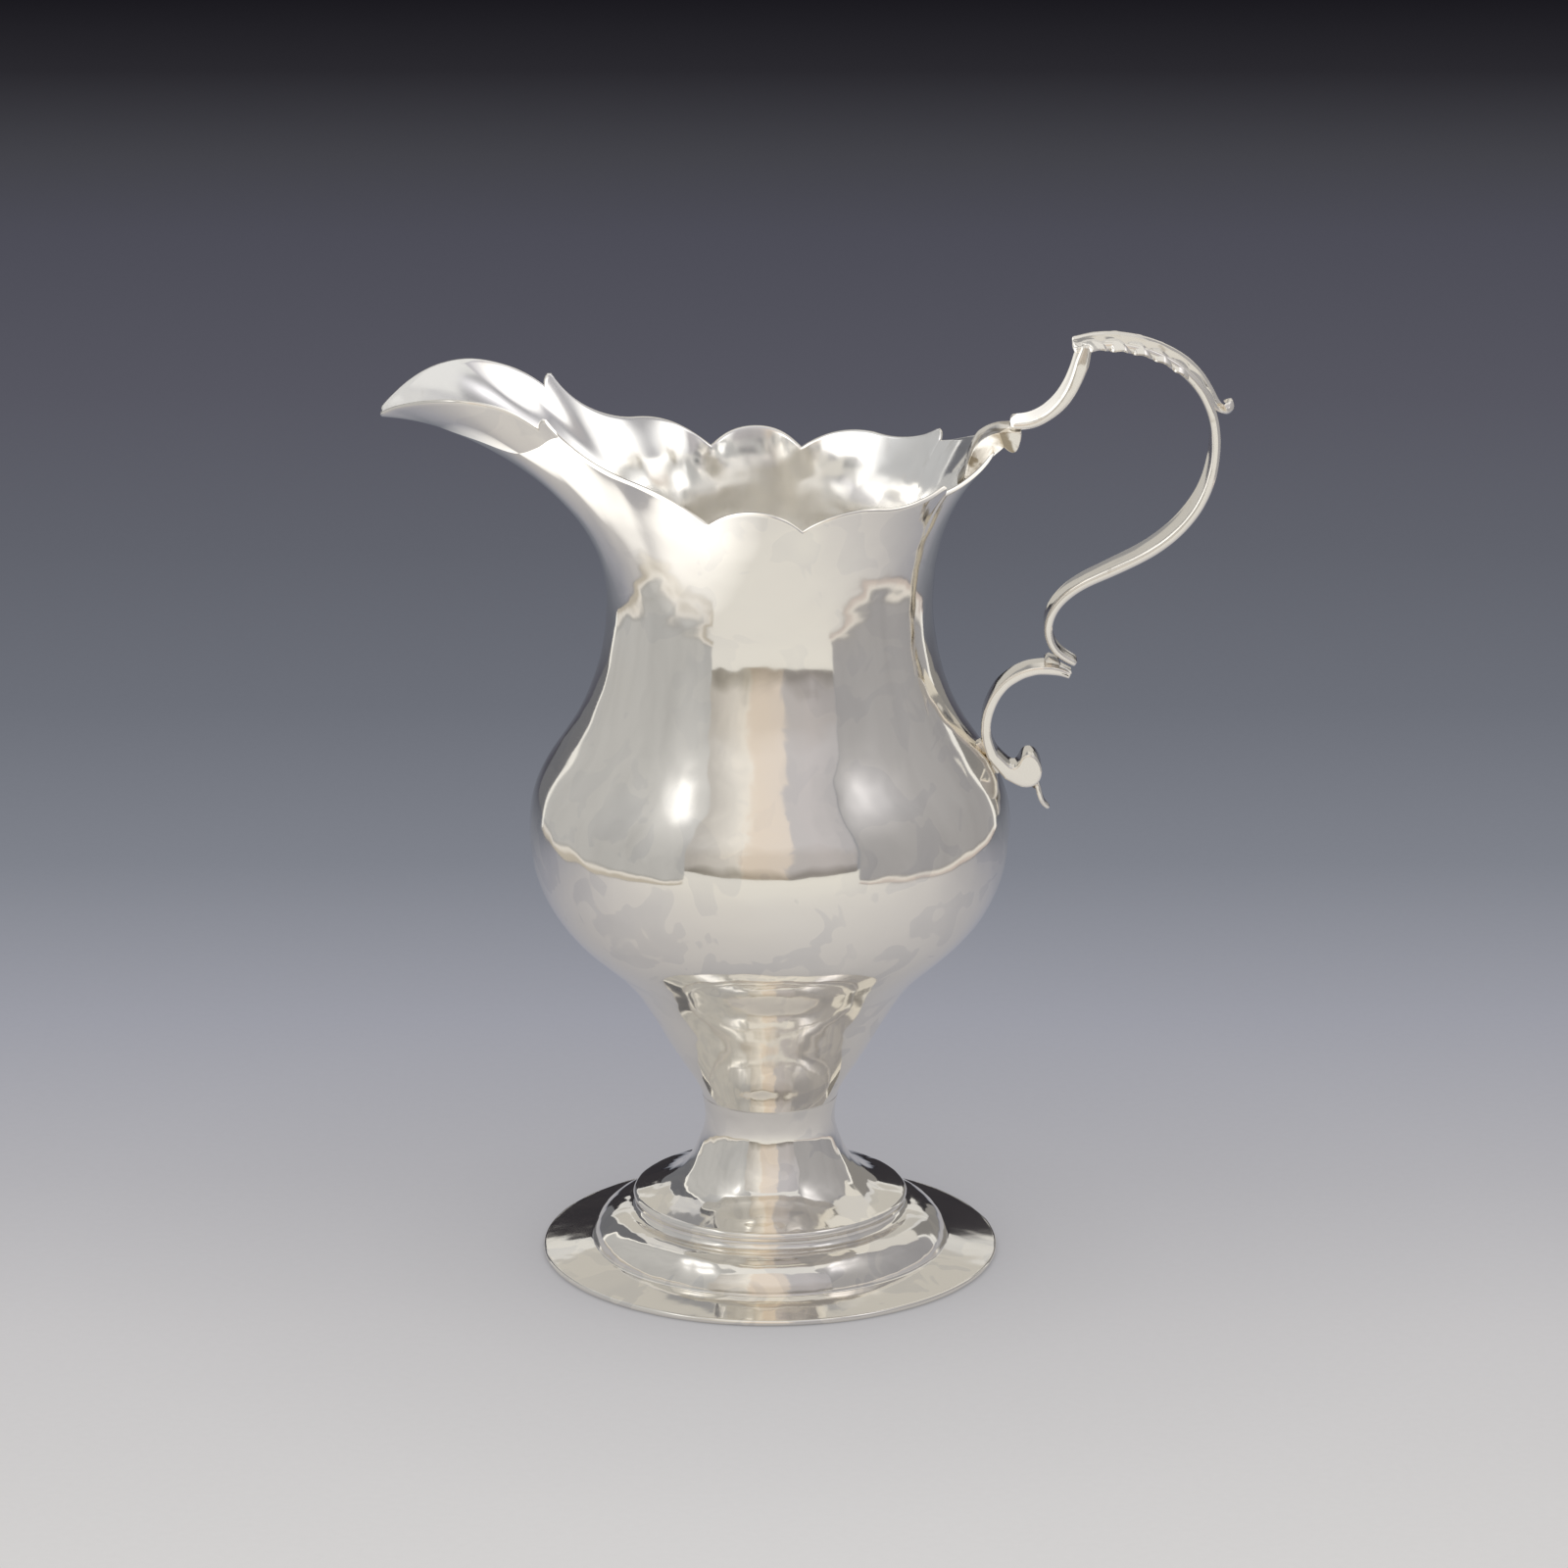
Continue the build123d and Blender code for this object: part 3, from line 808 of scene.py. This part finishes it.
def plate_shell(outline, half_width, radius, rough):
    """Vertices and faces of a flat outline in the XZ plane, cast to a width, with rounded edges."""
    count = max(24, round(np.sum(np.linalg.norm(np.diff(outline, axis=0), axis=1)) / 0.12))
    points = evenly(np.vstack([outline, outline[:1]]), count + 1)[:-1]
    ahead, behind = np.roll(points, -1, axis=0), np.roll(points, 1, axis=0)
    run = unit(ahead - behind)
    area = np.sum(points[:, 0] * ahead[:, 1] - ahead[:, 0] * points[:, 1])
    inward = np.stack([-run[:, 1], run[:, 0]], axis=1) * np.sign(area)
    turns = np.radians([0, 15, 40, 65, 90])
    near = [(radius * (1 - math.sin(a)), half_width - radius * (1 - math.cos(a))) for a in turns]
    near = [(radius * 1.5, half_width)] + near
    stack = [(inset, -depth) for inset, depth in near] + [(inset, depth) for inset, depth in near[::-1]]
    rings = np.array([
        np.stack([p[:, 0], np.full(len(p), depth), p[:, 1]], axis=1)
        for p, depth in ((points + inward * inset, depth) for inset, depth in stack)
    ])
    rings = wobble(rings, grid_normals(rings), [(1.2, rough, "soft", 4.4)])
    rows, columns = rings.shape[:2]
    faces = ring_faces(rows, columns, False, False)
    faces.append(tuple(range(columns))[::-1])
    faces.append(tuple((rows - 1) * columns + j for j in range(columns)))
    return rings.reshape(-1, 3), faces


def united(name, shells, material, kind, *nodes):
    """One clean piece from several closed shells that run into each other."""
    made = []
    for index, (vertices, faces) in enumerate(shells):
        mesh = new_mesh(f"{name}_{index}", vertices, faces)
        face_outward(mesh)
        made.append(add_object(mesh.name, mesh))
    for part in made[1:]:
        cut = made[0].modifiers.new("join", "BOOLEAN")
        cut.operation = "UNION"
        cut.solver = "EXACT"
        cut.object = part
    graph = bpy.context.evaluated_depsgraph_get()
    whole = bpy.data.meshes.new_from_object(made[0].evaluated_get(graph))
    vertices = np.zeros(len(whole.vertices) * 3)
    whole.vertices.foreach_get("co", vertices)
    faces = [tuple(p.vertices) for p in whole.polygons]
    for part in made:
        bpy.data.objects.remove(part)
    return piece(name, vertices.reshape(-1, 3) / MM, faces, material, kind, *nodes)


TONGUE_LINE = [(29.4, 106.0), (31.4, 106.2), (33.6, 107.3), (35.5, 109.2), (36.9, 111.8), (38.1, 115.75)]
UPPER_LINE = [
    (36.8, 115.4), (39.6, 115.9), (45.4, 115.2), (50.2, 112.5), (53.2, 107.8), (53.8, 103.4),
    (52.0, 96.3), (46.8, 90.7), (39.9, 87.0), (35.6, 84.2), (33.9, 81.0), (34.6, 77.9),
    (37.1, 76.0),
]
LOWER_LINE = [
    (36.6, 74.4), (35.0, 75.0), (33.0, 75.2), (30.8, 74.7), (28.3, 72.9), (26.8, 70.2),
    (26.4, 67.2), (27.2, 64.3), (28.9, 62.3), (30.8, 61.8),
]
TAIL_LINE = [(32.7, 60.3), (33.0, 59.2), (33.4, 58.1), (34.0, 57.4)]
STRAP_T = 1.1           # thickness of the upper scroll's strap
# Straps, from start to end: share of the length, width, thickness and depth of the hollow faces.
UPPER_STATIONS = [
    (0, 4.6, 0.7, 0.05),
    (0.1, 5.8, STRAP_T, 0.12),
    (0.45, 6.6, STRAP_T, 0.18),
    (0.6, 6.2, STRAP_T, 0.18),
    (0.8, 4.6, STRAP_T, 0.16),
    (0.92, 4.2, 1.0, 0.10),
    (1, 3.4, 0.7, 0.04),
]
TONGUE_STATIONS = [
    (0, 5.0, 0.8, 0.08),
    (0.3, 5.4, 1.1, 0.14),
    (0.6, 5.8, 1.4, 0.22),
    (0.85, 5.6, 1.7, 0.25),
    (1, 5.2, 1.3, 0.12),
]
TAIL_STATIONS = [(0, 1.8, 0.7, 0), (0.6, 2.0, 0.6, 0.05), (1, 1.2, 0.45, 0)]


def upper_scroll():
    """The long C-scroll and the hollowed tongue that carries it."""
    scroll = strap_rings(UPPER_LINE, UPPER_STATIONS, 190)
    tongue = strap_rings(TONGUE_LINE, TONGUE_STATIONS, 60)
    shells = [shell_of(scroll), shell_of(tongue)]
    return united("upper_scroll_cast", shells, CAST, "cast", "upper_scroll")


LEAF_T = 0.7
LEAF_SHARE = 0.30       # share of the scroll's length that the leaf covers
LEAF_LOBES = 7
LOBED_SHARE = 0.84      # the lobes stop at this share of the leaf's length, before its tip
LEAF_BEDDED = 0.27      # how deep the leaf's underside is let into the strap
# Share of the leaf's length, its width, its thickness, and how far its veins and edges are worked.
LEAF_STATIONS = [
    (0, 3.6, 0.6, 0.5),
    (0.05, 5.6, 0.7, 0.9),
    (0.2, 6.8, 0.7, 1),
    (0.6, 7.0, 0.7, 1),
    (0.78, 5.4, 0.6, 0.8),
    (0.88, 3.4, 0.5, 0.25),
    (0.95, 3.0, 0.55, -0.3),
    (1, 2.4, 0.6, -0.5),
]


def leaf_section(share, width, thickness, lift):
    """The leaf across its midrib: a raised rib, veins that run back to it, and edges that turn down."""
    across = np.linspace(-1, 1, 41)
    out = np.abs(across)
    phase = LEAF_LOBES * (share / LOBED_SHARE) - 0.55 * out
    lobe = np.where(share < LOBED_SHARE, phase % 1.0, 0.35)
    reach = 1 - 0.20 * smoothstep(0.70, 1.0, lobe) - 0.08 * smoothstep(0.20, 0.0, lobe)
    vein = 0.22 * smoothstep(0.10, 0.55, out) * (0.5 - 0.5 * np.cos(math.tau * lobe)) * lift
    rib = 0.30 * np.exp(-((out / 0.13) ** 2))
    fall = (0.25 * out + 1.05 * out**3) * lift
    top = thickness / 2 + rib + vein - fall
    edge_reach = 1 - (1 - reach) * smoothstep(0.55, 1.0, out)
    place = across * width / 2 * edge_reach
    under = top - thickness * (1 - 0.45 * out**3)
    upper = np.stack([place, top], axis=1)
    lower = np.stack([place * 0.985, under], axis=1)[::-1]
    return np.concatenate([lower[:-1], upper])


def leaf_cap():
    """The acanthus leaf on top of the scroll, with its rounded start and a tip that curls up."""
    scroll = spline(UPPER_LINE, 400)
    covered = int(400 * LEAF_SHARE) + 1
    lift = STRAP_T / 2 - LEAF_BEDDED + LEAF_T / 2
    raised = scroll[:covered] + left_of(scroll)[:covered] * lift
    curled_tip = [(54.5, 107.6), (55.2, 107.35), (55.75, 107.95), (55.6, 108.6)]
    knots = [tuple(p) for p in raised[::17]] + curled_tip
    count = 230
    line = spline(knots, count)
    shares = np.linspace(0, 1, count)
    rows = stations_at(LEAF_STATIONS, shares)
    sections = [leaf_section(share, *row) for share, row in zip(shares, rows)]
    line, sections = rounded_ends(line, sections, 0.25)
    rings = swept(line, sections)
    rings = wobble(rings, grid_normals(rings), [(1.4, 0.02, "soft", 6.6)])
    return piece("leaf_cap_cast", *shell_of(rings), CAST, "cast", "leaf_cap")


# Side view of the scroll's thick end: under the volute, round it, over its eye and down to the notch.
VOLUTE = [
    (28.7, 61.45), (29.9, 60.75), (31.3, 60.32), (32.6, 60.75), (33.2, 61.75), (33.22, 62.7),
    (32.85, 63.7), (32.2, 64.45), (31.5, 64.6), (30.85, 64.2), (30.45, 63.5), (29.95, 62.95),
    (29.3, 63.15),
]


def lower_scroll():
    """The lower C-scroll with its volute, flat on both sides."""
    line = spline(LOWER_LINE, 100)[:80]     # the volute's own outline takes over from there
    left = left_of(line)
    half = stations_at([(0, 0.36), (0.12, 0.52), (0.85, 0.58), (1, 0.7)], np.linspace(0, 1, len(line)))
    outer, inner = line - left * half, line + left * half
    volute = spline(VOLUTE, 48)
    outline = np.vstack([outer, volute, inner[::-1]])
    vertices, faces = plate_shell(outline, 2.1, 0.3, 0.035)
    vertices[:, 1] *= 0.78 + 0.22 * smoothstep(36.5, 33.0, vertices[:, 0])
    return piece("lower_scroll_cast", vertices, faces, CAST, "cast", "lower_scroll")


def tail_drop():
    """The small curled leaf under the volute."""
    rings = strap_rings(TAIL_LINE, TAIL_STATIONS, 26, [(1.0, 0.04, "soft", 2.0)])
    return piece("tail_drop_cast", *shell_of(rings), CAST, "cast", "tail_drop")


def rim_bracket():
    """The hook over the rim, with the leaf point that hangs outside it."""
    top = spline([(23.4, 99.4), (24.0, 101.8), (25.4, 104.3), (27.6, 105.3), (30.3, 105.4)], 26)
    front = spline([(30.35, 105.2), (30.15, 103.9), (29.5, 102.8), (28.7, 103.1), (27.9, 103.9)], 16)
    under = np.array([(27.4, 103.7), (24.8, 100.7), (24.1, 99.7)])
    shell = plate_shell(np.vstack([top, front, under]), 2.7, 0.14, 0.05)
    return piece("rim_bracket_cast", *shell, DIRTY_CAST, "cast", "rim_bracket")


# Each lump of solder: its outline from the side, and its width.
BEADS = {
    "bracket_solder": ([(24.1, 99.9), (23.7, 100.4), (22.7, 98.8), (22.9, 98.0), (23.9, 99.3)], 3.8),
    "tongue_solder": ([(28.9, 105.3), (30.3, 105.3), (30.3, 105.75), (29.2, 105.75)], 4.8),
    "scroll_solder": ([(33.4, 75.6), (33.5, 76.4), (34.0, 76.7), (35.2, 76.1), (35.5, 75.5)], 2.5),
    "tail_solder": ([(31.7, 60.2), (32.5, 59.7), (32.9, 60.4), (32.6, 61.2)], 1.4),
    "joint_solder": (
        [(25.3, 65.5), (25.8, 66.0), (26.5, 65.1), (27.2, 63.7), (28.1, 62.1), (27.8, 61.3), (26.6, 63.0)],
        2.6,
    ),
}


def solder_beads():
    """The lumps of solder, narrower towards their ends."""
    for node, (outline, width) in BEADS.items():
        vertices, faces = plate_shell(np.array(outline), width / 2, 0.14, 0.08)
        middle = np.mean(outline, axis=0)
        out = np.linalg.norm(vertices[:, [0, 2]] - middle, axis=1)
        vertices[:, 1] *= 1 - 0.45 * (out / out.max()) ** 2
        material = FLUSH_SOLDER if node in ("scroll_solder", "joint_solder") else SOLDER
        piece(node + "_bead", vertices, faces, material, "solder", node)


upper_scroll()
leaf_cap()
lower_scroll()
tail_drop()
rim_bracket()
solder_beads()


# ---------------- studio
def glow(name, colour):
    """A surface that shines in one linear colour, or in the one that a function makes from its nodes."""
    n = Nodes(name)
    shown = colour(n) if callable(colour) else (*colour, 1.0)
    return n.finish(n.set(n.new("Emission"), Color=shown, Strength=1.0))


def card(name, corners, material):
    """A flat studio card from four corners in metres. Cards light the jug and don't show themselves."""
    mesh = bpy.data.meshes.new(name)
    mesh.from_pydata(corners, [], [(0, 1, 2, 3)])
    mesh.materials.append(material)
    made = add_object(name, mesh)
    made.visible_camera = False


def facing_y(y, left, right, low, high):
    """Corners of an upright card that faces along Y."""
    return [(left, y, low), (right, y, low), (right, y, high), (left, y, high)]


def facing_x(x, front, back, high):
    """Corners of an upright card that faces along X and stands on the floor."""
    return [(x, front, 0), (x, back, 0), (x, back, high), (x, front, high)]


FLOOR_FRONT = -2.0      # metres; the sheet runs from here
FLOOR_BACK = 0.80       # to here, and then turns up
FLOOR_HALF = 2.6        # half of its width
SHEET_TOP = 0.31        # the dark end of the sheet stands up this high


def floor_colour(n):
    """The sheet's gradient along Y: pale in front, near black behind, and dark grey at its end."""
    low, high = -0.40, 0.87
    share = n.math("DIVIDE", n.math("SUBTRACT", n.axis("Y"), low), high - low)
    stops = [
        (-0.40, (229, 227, 222)),
        (-0.22, (225, 223, 219)),
        (-0.10, (212, 210, 209)),
        (-0.03, (199, 197, 198)),
        (0.025, (178, 177, 181)),
        (0.087, (157, 158, 167)),
        (0.156, (128, 131, 140)),
        (0.235, (109, 112, 121)),
        (0.325, (97, 99, 108)),
        (0.428, (87, 87, 97)),
        (0.550, (77, 77, 87)),
        (0.618, (67, 67, 73)),
        (0.700, (42, 41, 46)),
        (0.775, (27, 26, 31)),
        (0.815, (30, 29, 34)),
        (0.855, (54, 52, 56)),
    ]
    return n.ramp(share, *[((y - low) / (high - low), srgb(*c)) for y, c in stops])


def floor():
    """The graduated sheet that the jug stands on."""
    n = Nodes("graduated_sheet")
    grain = n.ramp(n.noise(900, 3.0), (0.3, 0.985), (0.7, 1.0))
    tone = n.mix(1.0, floor_colour(n), grain, "MULTIPLY")
    # painted shadow of the jug, darkest round its foot, and painted contact shade from an AO node, both
    # multiplied into the sheet's glow
    out = n.distance_from((0, 0, 0))
    shadow = n.ramp(out, (0.026, 0.82), (0.033, 0.90), (0.050, 0.955), (0.090, 1.0))
    tone = n.mix(1.0, tone, shadow, "MULTIPLY")
    near = n.new("AmbientOcclusion", samples=8)
    n.set(near, Distance=0.012)
    contact_shade = n.ramp(near.outputs["AO"], (0.0, 0.55), (0.9, 1.0))
    tone = n.mix(1.0, tone, contact_shade, "MULTIPLY")
    material = n.finish(n.set(n.new("Emission"), Color=tone, Strength=1.0))
    turn = [(FLOOR_BACK, 0.0), (FLOOR_BACK + 0.05, 0.02), (FLOOR_BACK + 0.06, SHEET_TOP)]
    rows = [(FLOOR_FRONT, 0.0), *turn]
    points = [(x, y, z) for y, z in rows for x in (-FLOOR_HALF, FLOOR_HALF)]
    mesh = bpy.data.meshes.new("graduated_sheet")
    mesh.from_pydata(points, [], [(2 * k, 2 * k + 1, 2 * k + 3, 2 * k + 2) for k in range(len(rows) - 1)])
    mesh.materials.append(material)
    made = add_object("graduated_sheet", mesh)


def spot_card(name, x, y_front, y_back, height, base, tint, shade_band, shade_colour, lamps):
    """A diffusing side card with lamps that show as soft bright spots.

    The shade band is (height, sway, floor width): painted contact shade of its own colour along the card's
    foot, with a thin pale edge on its waving top, and a strip of painted shadow of that colour on the
    floor. lamps are (y, z, radius, strength).
    """
    shade_top, shade_sway, floor_shade = shade_band

    def colour(n):
        level = base
        for y, z, radius, strength in lamps:
            away = n.math("DIVIDE", n.distance_from((x, y, z)), radius)
            fall = n.math("POWER", math.e, n.times(n.times(away, away), -1.0))
            level = n.math("ADD", n.times(fall, strength), level)
        folds = n.ramp(n.noise(8.0, 3.0, 1.2, n.scaled((1.0, 1.0, 0.45))), (0.30, 0.90), (0.70, 1.07))
        cloth = n.mix(1.0, n.mix(1.0, folds, level, "MULTIPLY"), tint, "MULTIPLY")
        # painted contact shade along the card's foot, under a thin pale edge
        sway = n.swing(n.noise(14.0, 2.0), shade_sway)
        low = n.math("ADD", n.math("SUBTRACT", n.axis("Z"), shade_top), n.math("ADD", sway, 0.5))
        pale = (0.78, 0.75, 0.71)
        band = n.ramp(low, (0.500, shade_colour), (0.505, pale), (0.509, pale), (0.513, (0, 0, 0)))
        in_shade = n.ramp(low, (0.509, 1.0), (0.513, 0.0))
        edged = n.mix(in_shade, cloth, band)
        at_back = n.ramp(n.math("SUBTRACT", n.axis("Y"), y_back - 1.0), (0.975, 0.0), (0.980, 1.0))
        return n.mix(at_back, edged, (0.92, 0.91, 0.88))

    card(name, facing_x(x, y_front, y_back, height), glow(name, colour))
    # a strip of painted shadow on the floor along the card's foot
    reach = x - math.copysign(floor_shade, x)
    lying = [(x, y_front), (reach, y_front), (reach, y_back), (x, y_back)]
    card(name + "_flap", [(*spot, 0.002) for spot in lying], glow(name + "_flap", shade_colour))


def facing(bearing, climb):
    """Unit vector from degrees: bearing 0 is -Y and 90 is +X, climb is up from level."""
    azimuth, elevation = math.radians(bearing), math.radians(climb)
    level = math.cos(elevation)
    return Vector((math.sin(azimuth) * level, -math.cos(azimuth) * level, math.sin(elevation)))


BLOB_AWAY = 45          # so close that the jug's outside can't see them


def blob_card(name, spot, bearing, climb, radius, strength):
    """A soft reflector close over the rim: one place of the jug's inside sees it, in that direction."""
    toward = facing(bearing, climb)
    centre = (Vector(spot) + toward * BLOB_AWAY) * MM
    side = toward.cross(Vector((0, 0, 1))).normalized()
    rise = side.cross(toward).normalized()
    reach = radius * MM
    spread = ((-1, -1), (1, -1), (1, 1), (-1, 1))
    corners = [tuple(centre + side * a * reach + rise * b * reach) for a, b in spread]
    n = Nodes(name)
    fall = n.ramp(n.math("DIVIDE", n.distance_from(centre), reach), (0.0, 1.0), (0.5, 0.8), (1.0, 0.0))
    shine = n.set(n.new("Emission"), Color=(1.0, 0.99, 0.97, 1.0), Strength=strength)
    both = n.new("MixShader")
    for socket, source in zip(both.inputs, (fall, n.new("BsdfTransparent").outputs[0], shine.outputs[0])):
        n.put(source, socket)
    card(name, corners, n.finish(both))


def front_colour(n):
    """What faces the jug past the cards: a warm upright band between cool folds, dark at its foot."""
    waves = n.noise(5.0, 4.0, 1.8, n.scaled((1.0, 1.0, 0.5)))
    across = n.math("ADD", n.axis("X"), n.swing(waves, 0.30))
    share = n.math("DIVIDE", n.math("ADD", across, 0.9), 1.8)
    stops = [
        (-0.90, (196, 193, 190)),
        (-0.45, (226, 223, 219)),
        (-0.27, (240, 236, 230)),
        (-0.21, (232, 221, 210)),
        (0.20, (228, 219, 212)),
        (0.25, (198, 196, 200)),
        (0.55, (200, 197, 201)),
        (0.90, (188, 186, 190)),
    ]
    cloth = n.ramp(share, *[((x + 0.9) / 1.8, srgb(*c)) for x, c in stops])
    slow = n.noise(2.6, 1.5, 0.5, n.scaled((1.0, 1.0, 0.4)))
    height = n.math("ADD", n.axis("Z"), n.swing(slow, 0.35))
    foot = [(0.04, (186, 183, 176)), (0.20, (238, 236, 233)), (0.45, (240, 238, 235)), (0.75, (255,) * 3)]
    dark = n.ramp(height, *[(z, srgb(*c)) for z, c in foot])
    return n.mix(1.0, cloth, dark, "MULTIPLY")


def back_colour(n):
    """The pale cloth that hangs behind, with its slow folds."""
    folds = n.noise(3.0, 3.0, 1.0)
    stops = [(0.35, (196, 195, 197)), (0.50, (214, 213, 212)), (0.62, (222, 221, 218))]
    return n.ramp(folds, *[(place, srgb(*c)) for place, c in stops])


def handle_card_colour(n):
    """Pale behind the handle and grey behind the jug."""
    return n.ramp(n.axis("X"), (0.010, srgb(150, 150, 152)), (0.030, srgb(222, 219, 213)))


LEFT_LAMPS = [(-0.140, 0.308, 0.045, 0.85), (-0.135, 0.320, 0.120, 0.28), (-0.030, 0.400, 0.060, 0.9)]
RIGHT_LAMPS = [(-0.105, 0.316, 0.050, 0.40), (-0.105, 0.316, 0.120, 0.32), (-0.030, 0.440, 0.080, 1.0)]


def studio():
    """The sheet, the cards that the silver reflects, and an even grey beyond them."""
    floor()
    spot_card(
        "left_card", -0.210, -0.255, 0.212, 0.60, 0.49,
        tint=(1, 1, 1), shade_band=(0.006, 0.018, 0.003), shade_colour=(0.50, 0.46, 0.40), lamps=LEFT_LAMPS,
    )
    spot_card(
        "right_card", 0.215, -0.230, 0.200, 0.52, 0.36,
        tint=(1.0, 0.985, 1.02), shade_band=(0.003, 0.008, 0.008), shade_colour=(0.56, 0.49, 0.46), lamps=RIGHT_LAMPS,
    )
    for side, level in ((-1, (110, 111, 116)), (1, (138, 136, 134))):
        card(f"wing_{side}", facing_x(side * 0.27, 0.24, 0.80, 0.40), glow(f"wing_{side}", srgb(*level)))
    blob_card("inside_right", (-14, 16, 101), 62, 16, 21, 1.5)
    blob_card("inside_left", (8, 19, 98), -36, 13, 27, 1.8)
    blob_card("inside_lip", (-33.5, 9.9, 109.9), 17, 28, 13, 1.0)
    front, back, ceiling = -1.15, 0.52, 2.0
    top = [(-1.1, front, ceiling), (1.1, front, ceiling), (1.1, back, ceiling), (-1.1, back, ceiling)]
    for name, corners, colour in (
        ("front_card", facing_y(front, -1.1, 1.1, 0, ceiling), front_colour),
        ("top_card", top, srgb(232, 231, 229)),
        ("handle_card", facing_y(0.15, -0.06, 0.25, 0.125, 0.34), handle_card_colour),
        ("handle_low_card", facing_y(0.15, -0.085, 0.075, 0.070, 0.125), srgb(196, 193, 187)),
        ("back_card", facing_y(back, -1.2, 1.2, 0.184, ceiling), back_colour),
    ):
        card(name, corners, glow(name, colour))
    world = bpy.data.worlds.new("studio_air")
    world.use_nodes = True
    background = world.node_tree.nodes["Background"]
    background.inputs["Color"].default_value = (*srgb(150, 152, 158), 1.0)
    background.inputs["Strength"].default_value = 1.0
    bpy.context.scene.world = world


studio()


# ---------------- camera
def camera():
    """A long lens in front, a little above the jug."""
    data = bpy.data.cameras.new("camera")
    data.lens = 180
    data.sensor_width = 36
    made = add_object("camera", data)
    made.location = (0.00174, -0.91692, 0.34456)
    made.rotation_euler = (math.radians(72.77), 0, 0)
    bpy.context.scene.camera = made


camera()
bpy.context.scene.view_settings.view_transform = "Standard"
bpy.context.scene.cycles.glossy_bounces = 10     # light goes round inside the bowl many times
